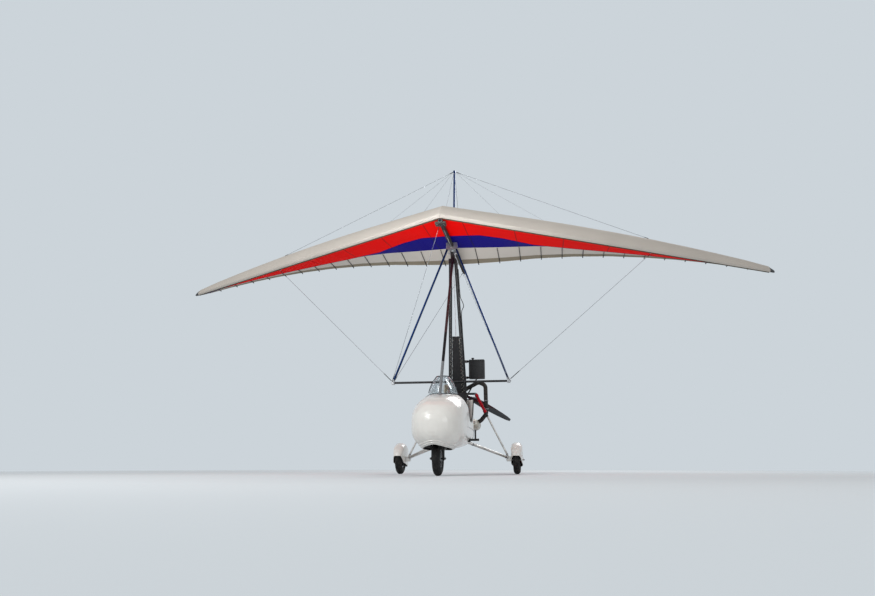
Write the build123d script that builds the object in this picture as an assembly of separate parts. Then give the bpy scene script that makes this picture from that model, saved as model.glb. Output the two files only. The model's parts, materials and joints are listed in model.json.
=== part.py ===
from build123d import *
import math
import os

# Two-seat weight-shift microlight: a hollow nacelle on three wheels under a swept fabric wing
# Millimetres; nose towards -Y, port side +X, ground at Z = 0

# Stance
HANG_Z = 3150.0
TRACK = 1680.0
WHEELBASE = 1780.0
MAIN_Y = 415.0
TRIM_DEG = 4.0

# Wing, in its own frame: hang bolt at the origin, keel level along Y
SPAN = 9800.0
NOSE_Y = -1253.0
SWEEP = 2884.0
KEEL_TAIL_Y = 1330.0
KEEL_R = 30.0
KEEL_Z = 87.0
KEEL_SLOPE = 0.0644
SKIN = 3.0
PANEL = 3.0
LE_BOTTOM_Z = 42.0
TIP_CAP = 75.0
KINGPOST_H = 1300.0
KINGPOST_Y = 90.0
BATTEN_R = 6.0
BATTENS_PER_SIDE = 10
BATTEN_GAP = 0.5
BATTEN_PROUD = 24.0
BACK_SHARE = 0.62
BAND_SHARE = 0.935
STAY_R = 2.5

# Control frame
BAR_Z = -1940.0
BAR_Y = -190.0
BAR_HALF = 800.0
BAR_R = 15.0
APEX_Y = -115.0
APEX_HALF = 60.0
UPRIGHT_CHORD = 54.0
UPRIGHT_THICK = 27.0

# Hang block
HANG_BOLT_R = 8.0
PIN_GAP = 0.06
SLEEVE_WALL = 9.0
SLEEVE_GAP = 1.0
HANG_BLOCK_LEN = 110.0

# Wheels
TYRE_R = 200.0
TYRE_W = 95.0
RIM_R = 105.0
AXLE_R = 10.0
SEAT_GAP = 0.2
NOSE_WHEEL_Y = MAIN_Y - WHEELBASE
STEER_Y = NOSE_WHEEL_Y - 30.0

# Nacelle
NACELLE_WALL = 6.0
ARCH_HALF = 172.0
ARCH_LONG = 290.0
ARCH_AHEAD = 76.0
REAR_LEAN = 0.14
REAR_CUT_Y = MAIN_Y - 140.0
SIDE_EDGE_Z = 672.0
REAR_EDGE_Z = 1062.0
LIP_ROWS = ((10.0, 52.0), (19.0, 30.0))
DASH_Y = MAIN_Y - 0.7697 * WHEELBASE
STEP_Y = MAIN_Y - 0.5927 * WHEELBASE
STEP_Z = 441.0
STEP_HALF = 403.0
STEP_R = 14.0
GROMMET_R = 30.0
SCREEN_WALL = 3.0

# Mast and chassis
MAST_R = 25.0
MAST_FOOT_Y = 551.0
MAST_FOOT_Z = 500.0
STRUT_R = 19.0
STRUT_FOOT_Y = NOSE_WHEEL_Y + 75.0
STRUT_FOOT_Z = 862.0
SHOCK_TOP_X = 264.0
SHOCK_TOP_Y = 440.0
SHOCK_TOP_Z = 1137.0
SHOCK_R = 21.0
SHOCK_BAR_R = 16.0
SHOCK_SHARE = 0.3
HOOP_R = 8.0
HOOP_Z = 408.0
LEG_R = 17.0
MAST_FOOT_HALF = 130.0
MAST_TOP_HALF = 34.0
BEAM_W = 60.0
BEAM_H = 56.0
BEAM_Z = 500.0
BEAM_TAIL_Y = 860.0
PICKET_Y = BEAM_TAIL_Y - 25.0
PICKET_R = 7.0
LEG_PIVOT_Z = 482.0
LEG_FRONT_Y = -200.0
LEG_REAR_Y = 380.0
CROSS_TUBE_R = 24.0
CROSS_TUBE_HALF = 70.0

# Engine
CYL_R = 58.0
CYL_SPOTS = (618.0, 740.0)
CASE_Y0 = 560.0
CASE_Y1 = 812.0
CASE_LOW = 985.0
CASE_TOP = 1150.0
CRANK_Z = 1077.0
HEAD_LOW = 1268.0
HEAD_TOP = 1308.0
PORT_Z = 1225.0
GEAR_CASE_LEN = 44.0
MUFFLER_X = 225.0
MUFFLER_Z = 700.0
MUFFLER_R = 74.0
MUFFLER_Y0 = 430.0
MUFFLER_Y1 = 800.0
PIPE_R = 30.0
RADIATOR_X = 267.5
RADIATOR_Y = 605.0
RADIATOR_Z = 1515.0
RADIATOR_W = 235.0
RADIATOR_H = 290.0
RADIATOR_D = 60.0
RADIATOR_TUBES = 12
ARM_Y = 680.0
ARM_Z = 488.0
SEAT_HALF = 165.0
CUSHION = 90.0
FRONT_SEAT_Z = 528.2
REAR_SEAT_Z = 640.0

# Propeller
PROP_Y = 900.0
PROP_Z = 1200.0
PROP_R = 840.0
HUB_FRONT = 24.0
SHAFT_R = 12.0

# Wing stations: share of half span, chord, nose-down twist, crest height,
# seam share, seam height, rear edge share of the lower panel
STAY_SHARE = 0.59
STATION_NAMES = ("span", "chord", "twist", "crest", "seam", "seam_h", "lap")
STATIONS = (
    (0.00003, 2230.0, 3.6, 300.0, 0.370, 8.0, 0.755),
    (0.085, 2110.0, 5.2, 298.0, 0.345, 42.0, 0.750),
    (0.150, 2000.0, 6.6, 295.0, 0.370, 38.0, 0.748),
    (0.240, 1850.0, 9.0, 288.0, 0.440, 0.0, 0.745),
    (0.360, 1655.0, 12.0, 271.0, 0.475, -8.0, 0.748),
    (0.480, 1455.0, 14.8, 248.0, 0.500, -8.0, 0.760),
    (0.590, 1265.0, 17.0, 224.0, 0.495, -7.0, 0.775),
    (0.700, 1066.0, 19.0, 193.0, 0.460, -5.0, 0.792),
    (0.800, 870.0, 20.5, 162.0, 0.390, -3.0, 0.818),
    (0.900, 640.0, 21.6, 128.0, 0.240, 0.0, 0.860),
    (0.985, 440.0, 22.0, 88.0, 0.090, 0.0, 0.930),
)


def rod(a, b, r):
    # Round bar from point a to point b
    way = Vector(*b) - Vector(*a)
    return extrude(Plane(origin=a, z_dir=way) * Circle(r), way.length)


def pipe(a, b, r, wall):
    # Round tube with open ends
    way = Vector(*b) - Vector(*a)
    ring = Circle(r) - Circle(r - wall)
    return extrude(Plane(origin=a, z_dir=way) * ring, way.length)


def blade_strut(a, b, chord, thick):
    # Streamlined strut, its long section axis kept along Y
    way = Vector(*b) - Vector(*a)
    side = Vector(0, 1, 0).cross(way).normalized()
    plane = Plane(origin=a, x_dir=side, z_dir=way)
    return extrude(plane * Ellipse(thick / 2, chord / 2), way.length)


def block(x0, x1, y0, y1, z0, z1):
    # Box between two corners
    mid = ((x0 + x1) / 2, (y0 + y1) / 2, (z0 + z1) / 2)
    return Pos(*mid) * Box(x1 - x0, y1 - y0, z1 - z0)


def mirrored(shape):
    return mirror(shape, about=Plane.YZ)


def bent_pipe(points, r, bend):
    # Solid pipe along a path of straight runs and round bends
    path = FilletPolyline(*points, radius=bend)
    start = Plane(origin=path @ 0, z_dir=path % 0)
    return sweep(start * Circle(r), path=path)


def wheel_disc(x0, x1, r):
    # Disc across X, centred on the wheel's axis
    return Pos((x0 + x1) / 2, 0, 0) * Rot(0, 90, 0) * Cylinder(r, abs(x1 - x0))


def place_wing(shape):
    # From the wing's own frame to the parked trim
    return Pos(0, 0, HANG_Z) * Rot(-TRIM_DEG, 0, 0) * shape


def station(index):
    return dict(zip(STATION_NAMES, STATIONS[index]))


def bay(share):
    # The two stations on each side of a share of the half span, and the way between them
    rows = wing_rows()
    for low, high in zip(rows, rows[1:]):
        if share <= high["span"] or high is rows[-1]:
            return low, high, (share - low["span"]) / (high["span"] - low["span"])


def on_skin(share, mark, drop):
    # Point under a key line of the upper skin at any share of the half span
    low, high, t = bay(share)
    ends = []
    for row in (low, high):
        s, h = skin_marks(row, SKIN)[mark]
        ends.append(Vector(*wing_point(row, s, h - drop)))
    return ends[0] + (ends[1] - ends[0]) * t


def wing_point(row, s, h):
    # Point of a wing section: s back along the chord line, h above it
    x = row["span"] * SPAN / 2
    y = NOSE_Y + SWEEP * row["span"]
    turn = math.radians(row["twist"])
    y += s * math.cos(turn) - h * math.sin(turn)
    z = LE_BOTTOM_Z + s * math.sin(turn) + h * math.cos(turn)
    return (x, y, z)


def skin_marks(row, inset):
    # Key points of the upper skin, moved in by the inset
    c = row["chord"]
    top = row["crest"]
    nose = min(40.0, 0.4 * top)
    tail = max(0.0, inset)
    return {
        "lip": (nose + 10 + inset * 0.2, inset),
        "nose_low": (0.35 * nose + inset * 0.8, 0.3 * nose + inset * 0.8),
        "nose": (inset, nose),
        "rise": (0.075 * c, 0.66 * top - inset * 0.7),
        "crest": (0.25 * c, top - inset),
        "fall": (0.43 * c, 0.86 * top - inset),
        "back": (BACK_SHARE * c, 0.54 * top - inset),
        "band": (BAND_SHARE * c, 0.11 * top + SKIN - tail),
        "tail": (c, SKIN - tail),
    }


def skin_face(row, first, last):
    # Closed thin section of the upper skin between two key points
    outer = {n: wing_point(row, *p) for n, p in skin_marks(row, 0.0).items()}
    inner = {n: wing_point(row, *p) for n, p in skin_marks(row, SKIN).items()}
    runs = (
        ("lip", "nose_low", "nose"),
        ("nose", "rise", "crest"),
        ("crest", "fall", "back"),
        ("back", None, "band"),
        ("band", None, "tail"),
    )
    starts = [r[0] for r in runs]
    ends = [r[2] for r in runs]
    used = runs[starts.index(first): ends.index(last) + 1]
    edges = []
    for a, m, b in used:
        for side in (outer, inner):
            if m is None:
                edges.append(Line(side[a], side[b]))
            else:
                edges.append(ThreePointArc(side[a], side[m], side[b]))
    edges.append(Line(outer[first], inner[first]))
    edges.append(Line(outer[last], inner[last]))
    return make_face(edges)


def panel_face(row, front, front_h, rear, rear_h):
    # Thin flat panel of the lower surface between two chord places
    low_a = wing_point(row, front, front_h)
    low_b = wing_point(row, rear, rear_h)
    top_a = wing_point(row, front, front_h + PANEL)
    top_b = wing_point(row, rear, rear_h + PANEL)
    return make_face(Polyline(low_a, low_b, top_b, top_a, close=True))


def ruled(faces):
    # Straight-ruled solid through the faces in order
    return loft(faces, ruled=True)


def wing_rows():
    return [station(i) for i in range(len(STATIONS))]


def under_height(row, s):
    # Inner side of the upper skin above the chord line, straight rear part
    c = row["chord"]
    marks = skin_marks(row, SKIN)
    a, b = marks["back"], marks["band"]
    t = (s - a[0]) / (b[0] - a[0])
    return a[1] + t * (b[1] - a[1])


def make_sail():
    faces = [skin_face(row, "lip", "band") for row in wing_rows()]
    return ruled(faces)


def make_trailing_band():
    faces = [skin_face(row, "band", "tail") for row in wing_rows()]
    return ruled(faces)


def lip_end(row):
    return skin_marks(row, 0.0)["lip"][0] + 1.0


def make_red_panel():
    faces = []
    for row in wing_rows():
        seam = row["seam"] * row["chord"]
        seam = max(seam, lip_end(row) + 25)
        faces.append(panel_face(row, lip_end(row), 0.0, seam, row["seam_h"]))
    return ruled(faces)


def make_blue_panel():
    faces = []
    for row in wing_rows():
        seam = max(row["seam"] * row["chord"], lip_end(row) + 25)
        rear = row["lap"] * row["chord"]
        rear_h = under_height(row, rear) - PANEL - 0.35
        faces.append(panel_face(row, seam, row["seam_h"], rear, rear_h))
    return ruled(faces)


def make_battens():
    # Straight rear ends of the battens, seen through the single-skin strip
    first, last = 0.045, 0.955
    made = []
    for i in range(BATTENS_PER_SIDE):
        share = first + (last - first) * i / (BATTENS_PER_SIDE - 1)
        low, high, t = bay(share)
        lap = low["lap"] + (high["lap"] - low["lap"]) * t + 0.012
        back = on_skin(share, "back", BATTEN_R + BATTEN_GAP)
        knee = on_skin(share, "band", BATTEN_R + BATTEN_GAP)
        tail = on_skin(share, "tail", BATTEN_R + BATTEN_GAP)
        start = back + (knee - back) * ((lap - BACK_SHARE) / (BAND_SHARE - BACK_SHARE))
        end = tail + (tail - knee).normalized() * BATTEN_PROUD
        made.append(rod(tuple(start), tuple(knee), BATTEN_R) + rod(tuple(knee), tuple(end), BATTEN_R))
    return made


def make_tip_cap():
    last = station(len(STATIONS) - 1)
    end = dict(last)
    end["span"] = last["span"] + TIP_CAP / (SPAN / 2)
    end["chord"] = last["chord"] * 0.8
    end["crest"] = last["crest"] * 0.55
    start = dict(last)
    start["span"] = last["span"] + 0.3 / (SPAN / 2)
    faces = []
    for row in (start, end):
        c, top = row["chord"], row["crest"]
        spots = ((0, 0.35), (0.1, 0.8), (0.3, 1.0), (0.62, 0.54), (1, 0.04), (0.5, -0.02), (0.1, 0))
        marks = [wing_point(row, s * c, h * top) for s, h in spots]
        faces.append(make_face(Polyline(*marks, close=True)))
    return ruled(faces)


def keel_at(y, up=0.0):
    # Point on the keel tube's axis, or above it
    return (0, y, KEEL_Z + KEEL_SLOPE * y + up)


def make_keel():
    return pipe(keel_at(NOSE_Y + 55), keel_at(KEEL_TAIL_Y - 60), KEEL_R, 4.0)


def make_keel_pocket():
    # Fabric fin between the keel tube and the single skin above it
    row = station(0)
    front, rear = (row["lap"] + 0.012) * row["chord"], 0.925 * row["chord"]
    tops = [wing_point(row, s, under_height(row, s) - 0.4)[1:] for s in (front, rear)]
    lows = [keel_at(y, KEEL_R + SEAT_GAP)[1:] for y, z in reversed(tops)]
    return side_prism(tops + lows, PANEL / 2)


def make_keel_plug():
    end = KEEL_TAIL_Y - 60
    inner = rod(keel_at(end - 40), keel_at(end + 5), KEEL_R - 4.0 - SEAT_GAP)
    return inner + rod(keel_at(end + SEAT_GAP), keel_at(KEEL_TAIL_Y), KEEL_R + 5)


def make_nose_cover():
    # Plate under the keel's nose that holds the front stays
    y0, y1 = NOSE_Y + 60, NOSE_Y + 160
    z0 = keel_at(y0)[2] - KEEL_R
    plate = block(-70, 70, y0, y1, z0 - 10, z0 + 20)
    return plate - rod(keel_at(y0 - 60), keel_at(y1 + 60), KEEL_R + SEAT_GAP)


def make_kingpost():
    foot = keel_at(KINGPOST_Y, KEEL_R + 6)
    head = kingpost_head()
    post = blade_strut(foot, head, 46, 30)
    base = block(-24, 24, KINGPOST_Y - 34, KINGPOST_Y + 34, foot[2] - 30, foot[2] + 8)
    base -= rod(keel_at(KINGPOST_Y - 60), keel_at(KINGPOST_Y + 60), KEEL_R + SEAT_GAP)
    cap = Pos(*head) * Box(34, 50, 28)
    return post + base + cap


def kingpost_head():
    return (0, KINGPOST_Y + 30, KEEL_Z + KINGPOST_H)


def kingpost_slot():
    # Clear way for the kingpost through both skins
    low, high = Vector(*keel_at(KINGPOST_Y)), Vector(*kingpost_head())
    return blade_strut(tuple(low), tuple(low + (high - low) * 0.6), 46 + 8, 30 + 8)


def frame_corner(side):
    return (side * BAR_HALF, BAR_Y, BAR_Z)


def frame_apex(side):
    return (side * APEX_HALF, APEX_Y, KEEL_Z - 48)


def make_upright(side):
    top = Vector(*frame_apex(side))
    low = Vector(*frame_corner(side))
    way = (low - top).normalized()
    return blade_strut(tuple(top + way * 25), tuple(low - way * 44), UPRIGHT_CHORD, UPRIGHT_THICK)


def make_bar():
    return rod((-BAR_HALF + 25, BAR_Y, BAR_Z), (BAR_HALF - 25, BAR_Y, BAR_Z), BAR_R)


def make_fittings():
    made = []
    for side in (-1, 1):
        top = Vector(*frame_apex(side))
        low = Vector(*frame_corner(side))
        way = (low - top).normalized()
        shoe = blade_strut(tuple(low - way * 43.8), tuple(low + way * 10), UPRIGHT_CHORD + 6, UPRIGHT_THICK + 8)
        x0, x1 = sorted((side * (BAR_HALF - 24.8), side * (BAR_HALF + 16)))
        hub = block(x0, x1, BAR_Y - 28, BAR_Y + 28, BAR_Z - 22, BAR_Z + 20)
        made.append(shoe + hub)
    # Saddle round the keel that carries both uprights
    saddle = block(-78, 78, APEX_Y - 30, APEX_Y + 30, KEEL_Z - 70, KEEL_Z + KEEL_R)
    saddle -= rod(keel_at(APEX_Y - 50), keel_at(APEX_Y + 50), KEEL_R + SEAT_GAP)
    for side in (-1, 1):
        top = Vector(*frame_apex(side))
        way = (Vector(*frame_corner(side)) - top).normalized()
        saddle -= blade_strut(tuple(top + way * 24.8), tuple(top + way * 200), UPRIGHT_CHORD + 0.5, UPRIGHT_THICK + 0.5)
    made.append(saddle)
    return made


def stay_row():
    # Wing section where the side stays end
    return next(row for row in wing_rows() if row["span"] >= STAY_SHARE)


def stay_plate():
    # Small plate under the lower panel that takes a side wire
    row = stay_row()
    near, far = lip_end(row) + 6, lip_end(row) + 60
    slope = row["seam_h"] / (row["seam"] * row["chord"] - lip_end(row))
    tops = [wing_point(row, s, slope * (s - lip_end(row)) - 0.3) for s in (far, near)]
    marks = [wing_point(row, near, -8), wing_point(row, far, -8)] + tops
    return extrude(make_face(Polyline(*marks, close=True)), 24, dir=(-1, 0, 0))


def make_stays():
    row = stay_row()
    x, y, z = wing_point(row, lip_end(row) + 33, -11)
    low_end = (x - 12, y, z)
    top_end = wing_point(row, 0.25 * row["chord"], row["crest"] + 3.0)
    reach = KEEL_R + STAY_R + 0.4
    tail, under_tail = keel_at(KEEL_TAIL_Y - 115, reach), keel_at(KEEL_TAIL_Y - 115, -reach)
    nose = keel_at(NOSE_Y + 110, -KEEL_R - 12)
    head = kingpost_head()
    made = []
    for side in (-1, 1):
        outer = (side * (BAR_HALF + 14), BAR_Y, BAR_Z + 23)
        front = (side * (BAR_HALF + 4), BAR_Y - 31, BAR_Z + 5)
        rear = (side * (BAR_HALF + 4), BAR_Y + 31, BAR_Z + 5)
        made.append(rod(outer, (side * low_end[0], low_end[1], low_end[2]), STAY_R))
        made.append(rod(front, (side * 14, nose[1], nose[2] - 3), STAY_R))
        made.append(rod(rear, (side * 4, under_tail[1], under_tail[2]), STAY_R))
        made.append(rod((side * 18.2, head[1], head[2]), (side * top_end[0], top_end[1], top_end[2]), STAY_R))
    made.append(rod((0, head[1] + 27.2, head[2]), tail, STAY_R))
    row = station(0)
    x, y, z = wing_point(row, 0.25 * row["chord"], row["crest"] + 3.0)
    made.append(rod((0, head[1] - 27.2, head[2]), (0, y, z), STAY_R))
    return made


def make_hang_block():
    # Sleeve that turns round the keel, with two cheeks for the hang bolt
    half = HANG_BLOCK_LEN / 2
    body = rod(keel_at(-half), keel_at(half), KEEL_R + SLEEVE_GAP + SLEEVE_WALL)
    for side in (-1, 1):
        x0, x1 = sorted((side * 30, side * 40))
        body += block(x0, x1, -26, 26, -24, KEEL_Z)
    body -= rod(keel_at(-half - 9), keel_at(half + 9), KEEL_R + SLEEVE_GAP)
    body += rod((-56, 0, 0), (56, 0, 0), HANG_BOLT_R)
    return body


def mast_point(z, side):
    # Centre of a mast tube at a height
    drop = (HANG_Z - z) / (HANG_Z - MAST_FOOT_Z)
    x = MAST_TOP_HALF + (MAST_FOOT_HALF - MAST_TOP_HALF) * drop
    return (side * x, MAST_FOOT_Y * drop, z)


def mast_head(grow):
    head = block(-29 - grow, 29 + grow, -26 - grow, 26, HANG_Z - 90 - grow, HANG_Z + 20)
    return head + block(-62, 62, -10 - grow, 45, HANG_Z - 150 - grow, HANG_Z - 78)


def shock_bar(r):
    # Cross tube behind the mast that carries both shock units
    return rod((-SHOCK_TOP_X, SHOCK_TOP_Y, SHOCK_TOP_Z), (SHOCK_TOP_X, SHOCK_TOP_Y, SHOCK_TOP_Z), r)


def make_mast():
    made = mast_head(0.0)
    for side in (-1, 1):
        made += rod(mast_point(HANG_Z - 100, side), mast_point(BEAM_Z, side), MAST_R)
    made += shock_bar(SHOCK_BAR_R)
    made += block(-150, 150, MAST_FOOT_Y - 27, MAST_FOOT_Y + 27, BEAM_Z + BEAM_H / 2 + SEAT_GAP, BEAM_Z + 48)
    made -= block(-200, 200, MAST_FOOT_Y - 90, MAST_FOOT_Y + 90, BEAM_Z - 60, BEAM_Z + BEAM_H / 2 + SEAT_GAP)
    made -= rod((-80, 0, HANG_Z), (80, 0, HANG_Z), HANG_BOLT_R + PIN_GAP)
    return made


def front_strut_rod(r):
    return rod((0, -8, HANG_Z - 58), (0, STRUT_FOOT_Y, STRUT_FOOT_Z - 12), r)


def make_front_strut():
    post = block(-30, 30, STRUT_FOOT_Y - 30, STRUT_FOOT_Y + 30, 0, STRUT_FOOT_Z + SEAT_GAP)
    return front_strut_rod(STRUT_R) - post - mast_head(SEAT_GAP)


# Nacelle sections: place as a share of the wheelbase ahead of the main axle, half width,
# top, bottom, upper and lower corner radius
NACELLE_NAMES = ("ahead", "half", "top", "low", "r_top", "r_low")
NACELLE = (
    (1.2208, 60.0, 640.0, 500.0, 58.0, 55.0),
    (1.2129, 112.0, 692.0, 452.0, 104.0, 100.0),
    (1.1972, 170.0, 748.0, 408.0, 152.0, 140.0),
    (1.1680, 226.0, 808.0, 366.0, 198.0, 175.0),
    (1.1253, 270.0, 860.0, 338.0, 232.0, 200.0),
    (1.0646, 302.0, 908.0, 322.0, 254.0, 215.0),
    (0.9860, 320.0, 946.0, 316.0, 266.0, 220.0),
    (0.8961, 325.0, 978.0, 318.0, 262.0, 216.0),
    (0.7697, 322.0, 1012.0, 326.0, 240.0, 204.0),
    (0.5702, 312.0, 1012.0, 344.0, 220.0, 190.0),
    (0.3455, 292.0, 1100.0, 368.0, 190.0, 176.0),
    (0.0000, 236.0, 1250.0, 412.0, 150.0, 146.0),
)


def nacelle_rows():
    rows = [dict(zip(NACELLE_NAMES, r)) for r in NACELLE]
    for row in rows:
        row["y"] = MAIN_Y - row["ahead"] * WHEELBASE
    return rows


def nacelle_rear():
    return nacelle_rows()[-1]["y"]


def nacelle_face(row, grow):
    # Rounded section of the nacelle, grown outwards by grow
    w = row["half"] + grow
    top = row["top"] + grow
    low = row["low"] - grow
    rt = min(row["r_top"] + grow, w - 1, top - low - 2)
    rl = min(row["r_low"] + grow, w - 1, top - low - rt - 1)
    y = row["y"]
    k = math.sqrt(0.5)
    parts = [
        Line((-w + rt, y, top), (w - rt, y, top)),
        ThreePointArc((w - rt, y, top), (w - rt + rt * k, y, top - rt + rt * k), (w, y, top - rt)),
        Line((w, y, top - rt), (w, y, low + rl)),
        ThreePointArc((w, y, low + rl), (w - rl + rl * k, y, low + rl - rl * k), (w - rl, y, low)),
        Line((w - rl, y, low), (-w + rl, y, low)),
        ThreePointArc((-w + rl, y, low), (-w + rl - rl * k, y, low + rl - rl * k), (-w, y, low + rl)),
        Line((-w, y, low + rl), (-w, y, top - rt)),
        ThreePointArc((-w, y, top - rt), (-w + rt - rt * k, y, top - rt + rt * k), (-w + rt, y, top)),
    ]
    return make_face(parts)


def nacelle_form(grow, y_in, y_rear):
    rows = nacelle_rows()
    rows[0]["y"] += y_in
    rows[-1]["y"] = y_rear
    return ruled([nacelle_face(row, grow) for row in rows])


def arch_cutter(extra):
    # Oval well round the nose wheel, leaning forward as it goes down
    lean = -16.0
    oval = Plane.XY * Ellipse(ARCH_HALF + extra, ARCH_LONG + extra)
    well = extrude(oval, 420)
    return Pos(0, NOSE_WHEEL_Y - ARCH_AHEAD, 120) * Rot(lean, 0, 0) * well


def side_prism(marks, half):
    # Prism across the craft from side view marks
    face = make_face(Polyline(*[(0, y, z) for y, z in marks], close=True))
    return extrude(face, half, dir=(1, 0, 0), both=True)


def cockpit_cutter():
    # Side view of the open cockpit: a steep drop behind the dash, then a long rise to the rear
    rear = nacelle_rear() + 70
    low = SIDE_EDGE_Z
    marks = (
        (DASH_Y, 1400), (DASH_Y, 966), (DASH_Y + 34, 866), (DASH_Y + 88, 778), (DASH_Y + 165, low + 42),
        (DASH_Y + 260, low + 8), (DASH_Y + 350, low), (DASH_Y + 450, low + 12), (DASH_Y + 590, low + 62),
        (rear - 70, REAR_EDGE_Z), (rear, REAR_EDGE_Z + 20), (rear, 1400),
    )
    return side_prism(marks, 500)


def rear_cutter(ahead):
    # Everything behind the leaning rear wall, moved forward by ahead
    y = REAR_CUT_Y - ahead
    return side_prism(((y, 300), (y + REAR_LEAN * 1100, 1400), (y + 600, 1400), (y + 600, 300)), 500)


def make_nacelle():
    rear = nacelle_rear()
    outer = nacelle_form(0.0, 0.0, rear) - rear_cutter(0.0)
    inner = nacelle_form(-NACELLE_WALL, NACELLE_WALL, rear) - rear_cutter(NACELLE_WALL)
    shell = outer
    for out, wide in LIP_ROWS:
        brow = nacelle_form(out, -out, rear) & arch_cutter(wide)
        shell += brow - block(-400, 400, -2000, NOSE_WHEEL_Y + 400, 520, 1200)
    shell -= inner
    shell -= arch_cutter(0.0)
    shell -= cockpit_cutter()
    for side in (-1, 1):
        x0, x1 = sorted((side * 200, side * 400))
        shell -= rod((x0, STEP_Y, STEP_Z), (x1, STEP_Y, STEP_Z), GROMMET_R + SEAT_GAP)
        for leg in leg_lines(side)[:2]:
            shell -= rod(*leg, LEG_R + 2)
    shell -= front_strut_rod(STRUT_R + 3)
    shell -= beam_form(SEAT_GAP)
    return shell


def make_step_bar():
    bar = rod((-STEP_HALF, STEP_Y, STEP_Z), (STEP_HALF, STEP_Y, STEP_Z), STEP_R)
    for side in (-1, 1):
        x0, x1 = sorted((side * 262, side * 306))
        bar += rod((x0, STEP_Y, STEP_Z), (x1, STEP_Y, STEP_Z), GROMMET_R)
    return bar


def beam_form(grow):
    half_w, half_h = BEAM_W / 2 + grow, BEAM_H / 2 + grow
    return block(-half_w, half_w, STEER_Y + 30, BEAM_TAIL_Y, BEAM_Z - half_h, BEAM_Z + half_h)


def make_chassis():
    beam = beam_form(0.0) - rod((-BEAM_W, PICKET_Y, BEAM_Z), (BEAM_W, PICKET_Y, BEAM_Z), PICKET_R)
    # Cross tubes for the gear legs, and floor blocks under the beam
    for tube in cross_tubes():
        beam += tube
    floor = nacelle_form(-NACELLE_WALL - SEAT_GAP, NACELLE_WALL, nacelle_rear() - NACELLE_WALL)
    for y in (-1040, -420, 160):
        beam += block(-80, 80, y - 12, y + 12, 300, BEAM_Z) & floor
    beam += make_hoop()
    return [beam, make_steering_head(), make_muffler_arm()]


def make_hoop():
    # Bent tube between the rear legs, with a short post up to the beam
    ends = [along(leg_lines(side)[1], 0.11) for side in (-1, 1)]
    y = ends[0][1]
    hoop = bent_pipe((ends[0], (-60, y, HOOP_Z), (60, y, HOOP_Z), ends[1]), HOOP_R, 25)
    for side in (-1, 1):
        hoop -= rod(*leg_lines(side)[1], LEG_R + SEAT_GAP)
    return hoop + rod((0, y, HOOP_Z), (0, y, BEAM_Z), HOOP_R)


def make_steering_head():
    # Bush for the fork's steerer, bolted to the beam's front end
    head = rod((0, STEER_Y, 446), (0, STEER_Y, 600), 34)
    head += block(-22, 22, STEER_Y, STEER_Y + 60, 474, 526)
    head -= rod((0, STEER_Y, 440), (0, STEER_Y, 610), 15 + PIN_GAP)
    return head - beam_form(SEAT_GAP)


def make_muffler_arm():
    # Bent tube from the beam's side up to the muffler
    arm = rod((0, ARM_Y, ARM_Z), (MUFFLER_X + 13, ARM_Y, ARM_Z), 13)
    arm += rod((MUFFLER_X, ARM_Y, ARM_Z), (MUFFLER_X, ARM_Y, MUFFLER_Z), 13)
    return arm - muffler_form(SEAT_GAP) - beam_form(SEAT_GAP)


def make_strut_foot():
    # Post on the beam that carries the front strut
    z0 = BEAM_Z + BEAM_H / 2 + SEAT_GAP
    return block(-24, 24, STRUT_FOOT_Y - 24, STRUT_FOOT_Y + 24, z0, STRUT_FOOT_Z)


def make_seat_base():
    # Box on the beam that carries the rear seat
    z0 = BEAM_Z + BEAM_H / 2 + SEAT_GAP
    return block(-90, 90, -50, 236, z0, REAR_SEAT_Z - SEAT_GAP)


def cross_tubes():
    # Tubes across the beam that carry the gear legs
    x = CROSS_TUBE_HALF
    ends = (LEG_FRONT_Y, LEG_REAR_Y)
    return [rod((-x, y, LEG_PIVOT_Z), (x, y, LEG_PIVOT_Z), CROSS_TUBE_R) for y in ends]


def leg_lines(side):
    # Lower legs to the belly and the strut up to the shock, one axle's side
    hub = (side * (TRACK / 2 - 112), MAIN_Y, TYRE_R + 22)
    return (
        ((side * 56, LEG_FRONT_Y, LEG_PIVOT_Z), hub),
        ((side * 56, LEG_REAR_Y, LEG_PIVOT_Z), hub),
        ((side * SHOCK_TOP_X, SHOCK_TOP_Y, SHOCK_TOP_Z), hub),
    )


def along(line, t):
    a, b = Vector(*line[0]), Vector(*line[1])
    return tuple(a + (b - a) * t)


def make_gear():
    front_tube, rear_tube = cross_tubes()
    made = []
    for side in (-1, 1):
        front, rear, up = leg_lines(side)
        legs = rod(*front, LEG_R) + rod(*rear, LEG_R)
        legs += rod(along(up, SHOCK_SHARE), up[1], 13)
        x0, x1 = sorted((side * (TRACK / 2 - 150), side * (TRACK / 2 + 92)))
        legs += rod((x0, MAIN_Y, TYRE_R), (x1, MAIN_Y, TYRE_R), AXLE_R)
        x0, x1 = sorted((side * (TRACK / 2 - 142), side * (TRACK / 2 - 84)))
        legs += block(x0, x1, MAIN_Y - 26, MAIN_Y + 26, TYRE_R - 24, TYRE_R + 46)
        made.append(legs - front_tube - rear_tube)
    return made


def make_shocks():
    # Turned body of each shock unit, with a collar at both ends
    made = []
    end = SHOCK_SHARE - 0.0002
    for side in (-1, 1):
        up = leg_lines(side)[2]
        body = rod(up[0], along(up, end), SHOCK_R)
        for t0, t1 in ((0.02, 0.045), (0.17, 0.19), (0.265, end)):
            body += rod(along(up, t0), along(up, t1), SHOCK_R + 6)
        made.append(body - shock_bar(SHOCK_BAR_R + SEAT_GAP))
    return made


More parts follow.
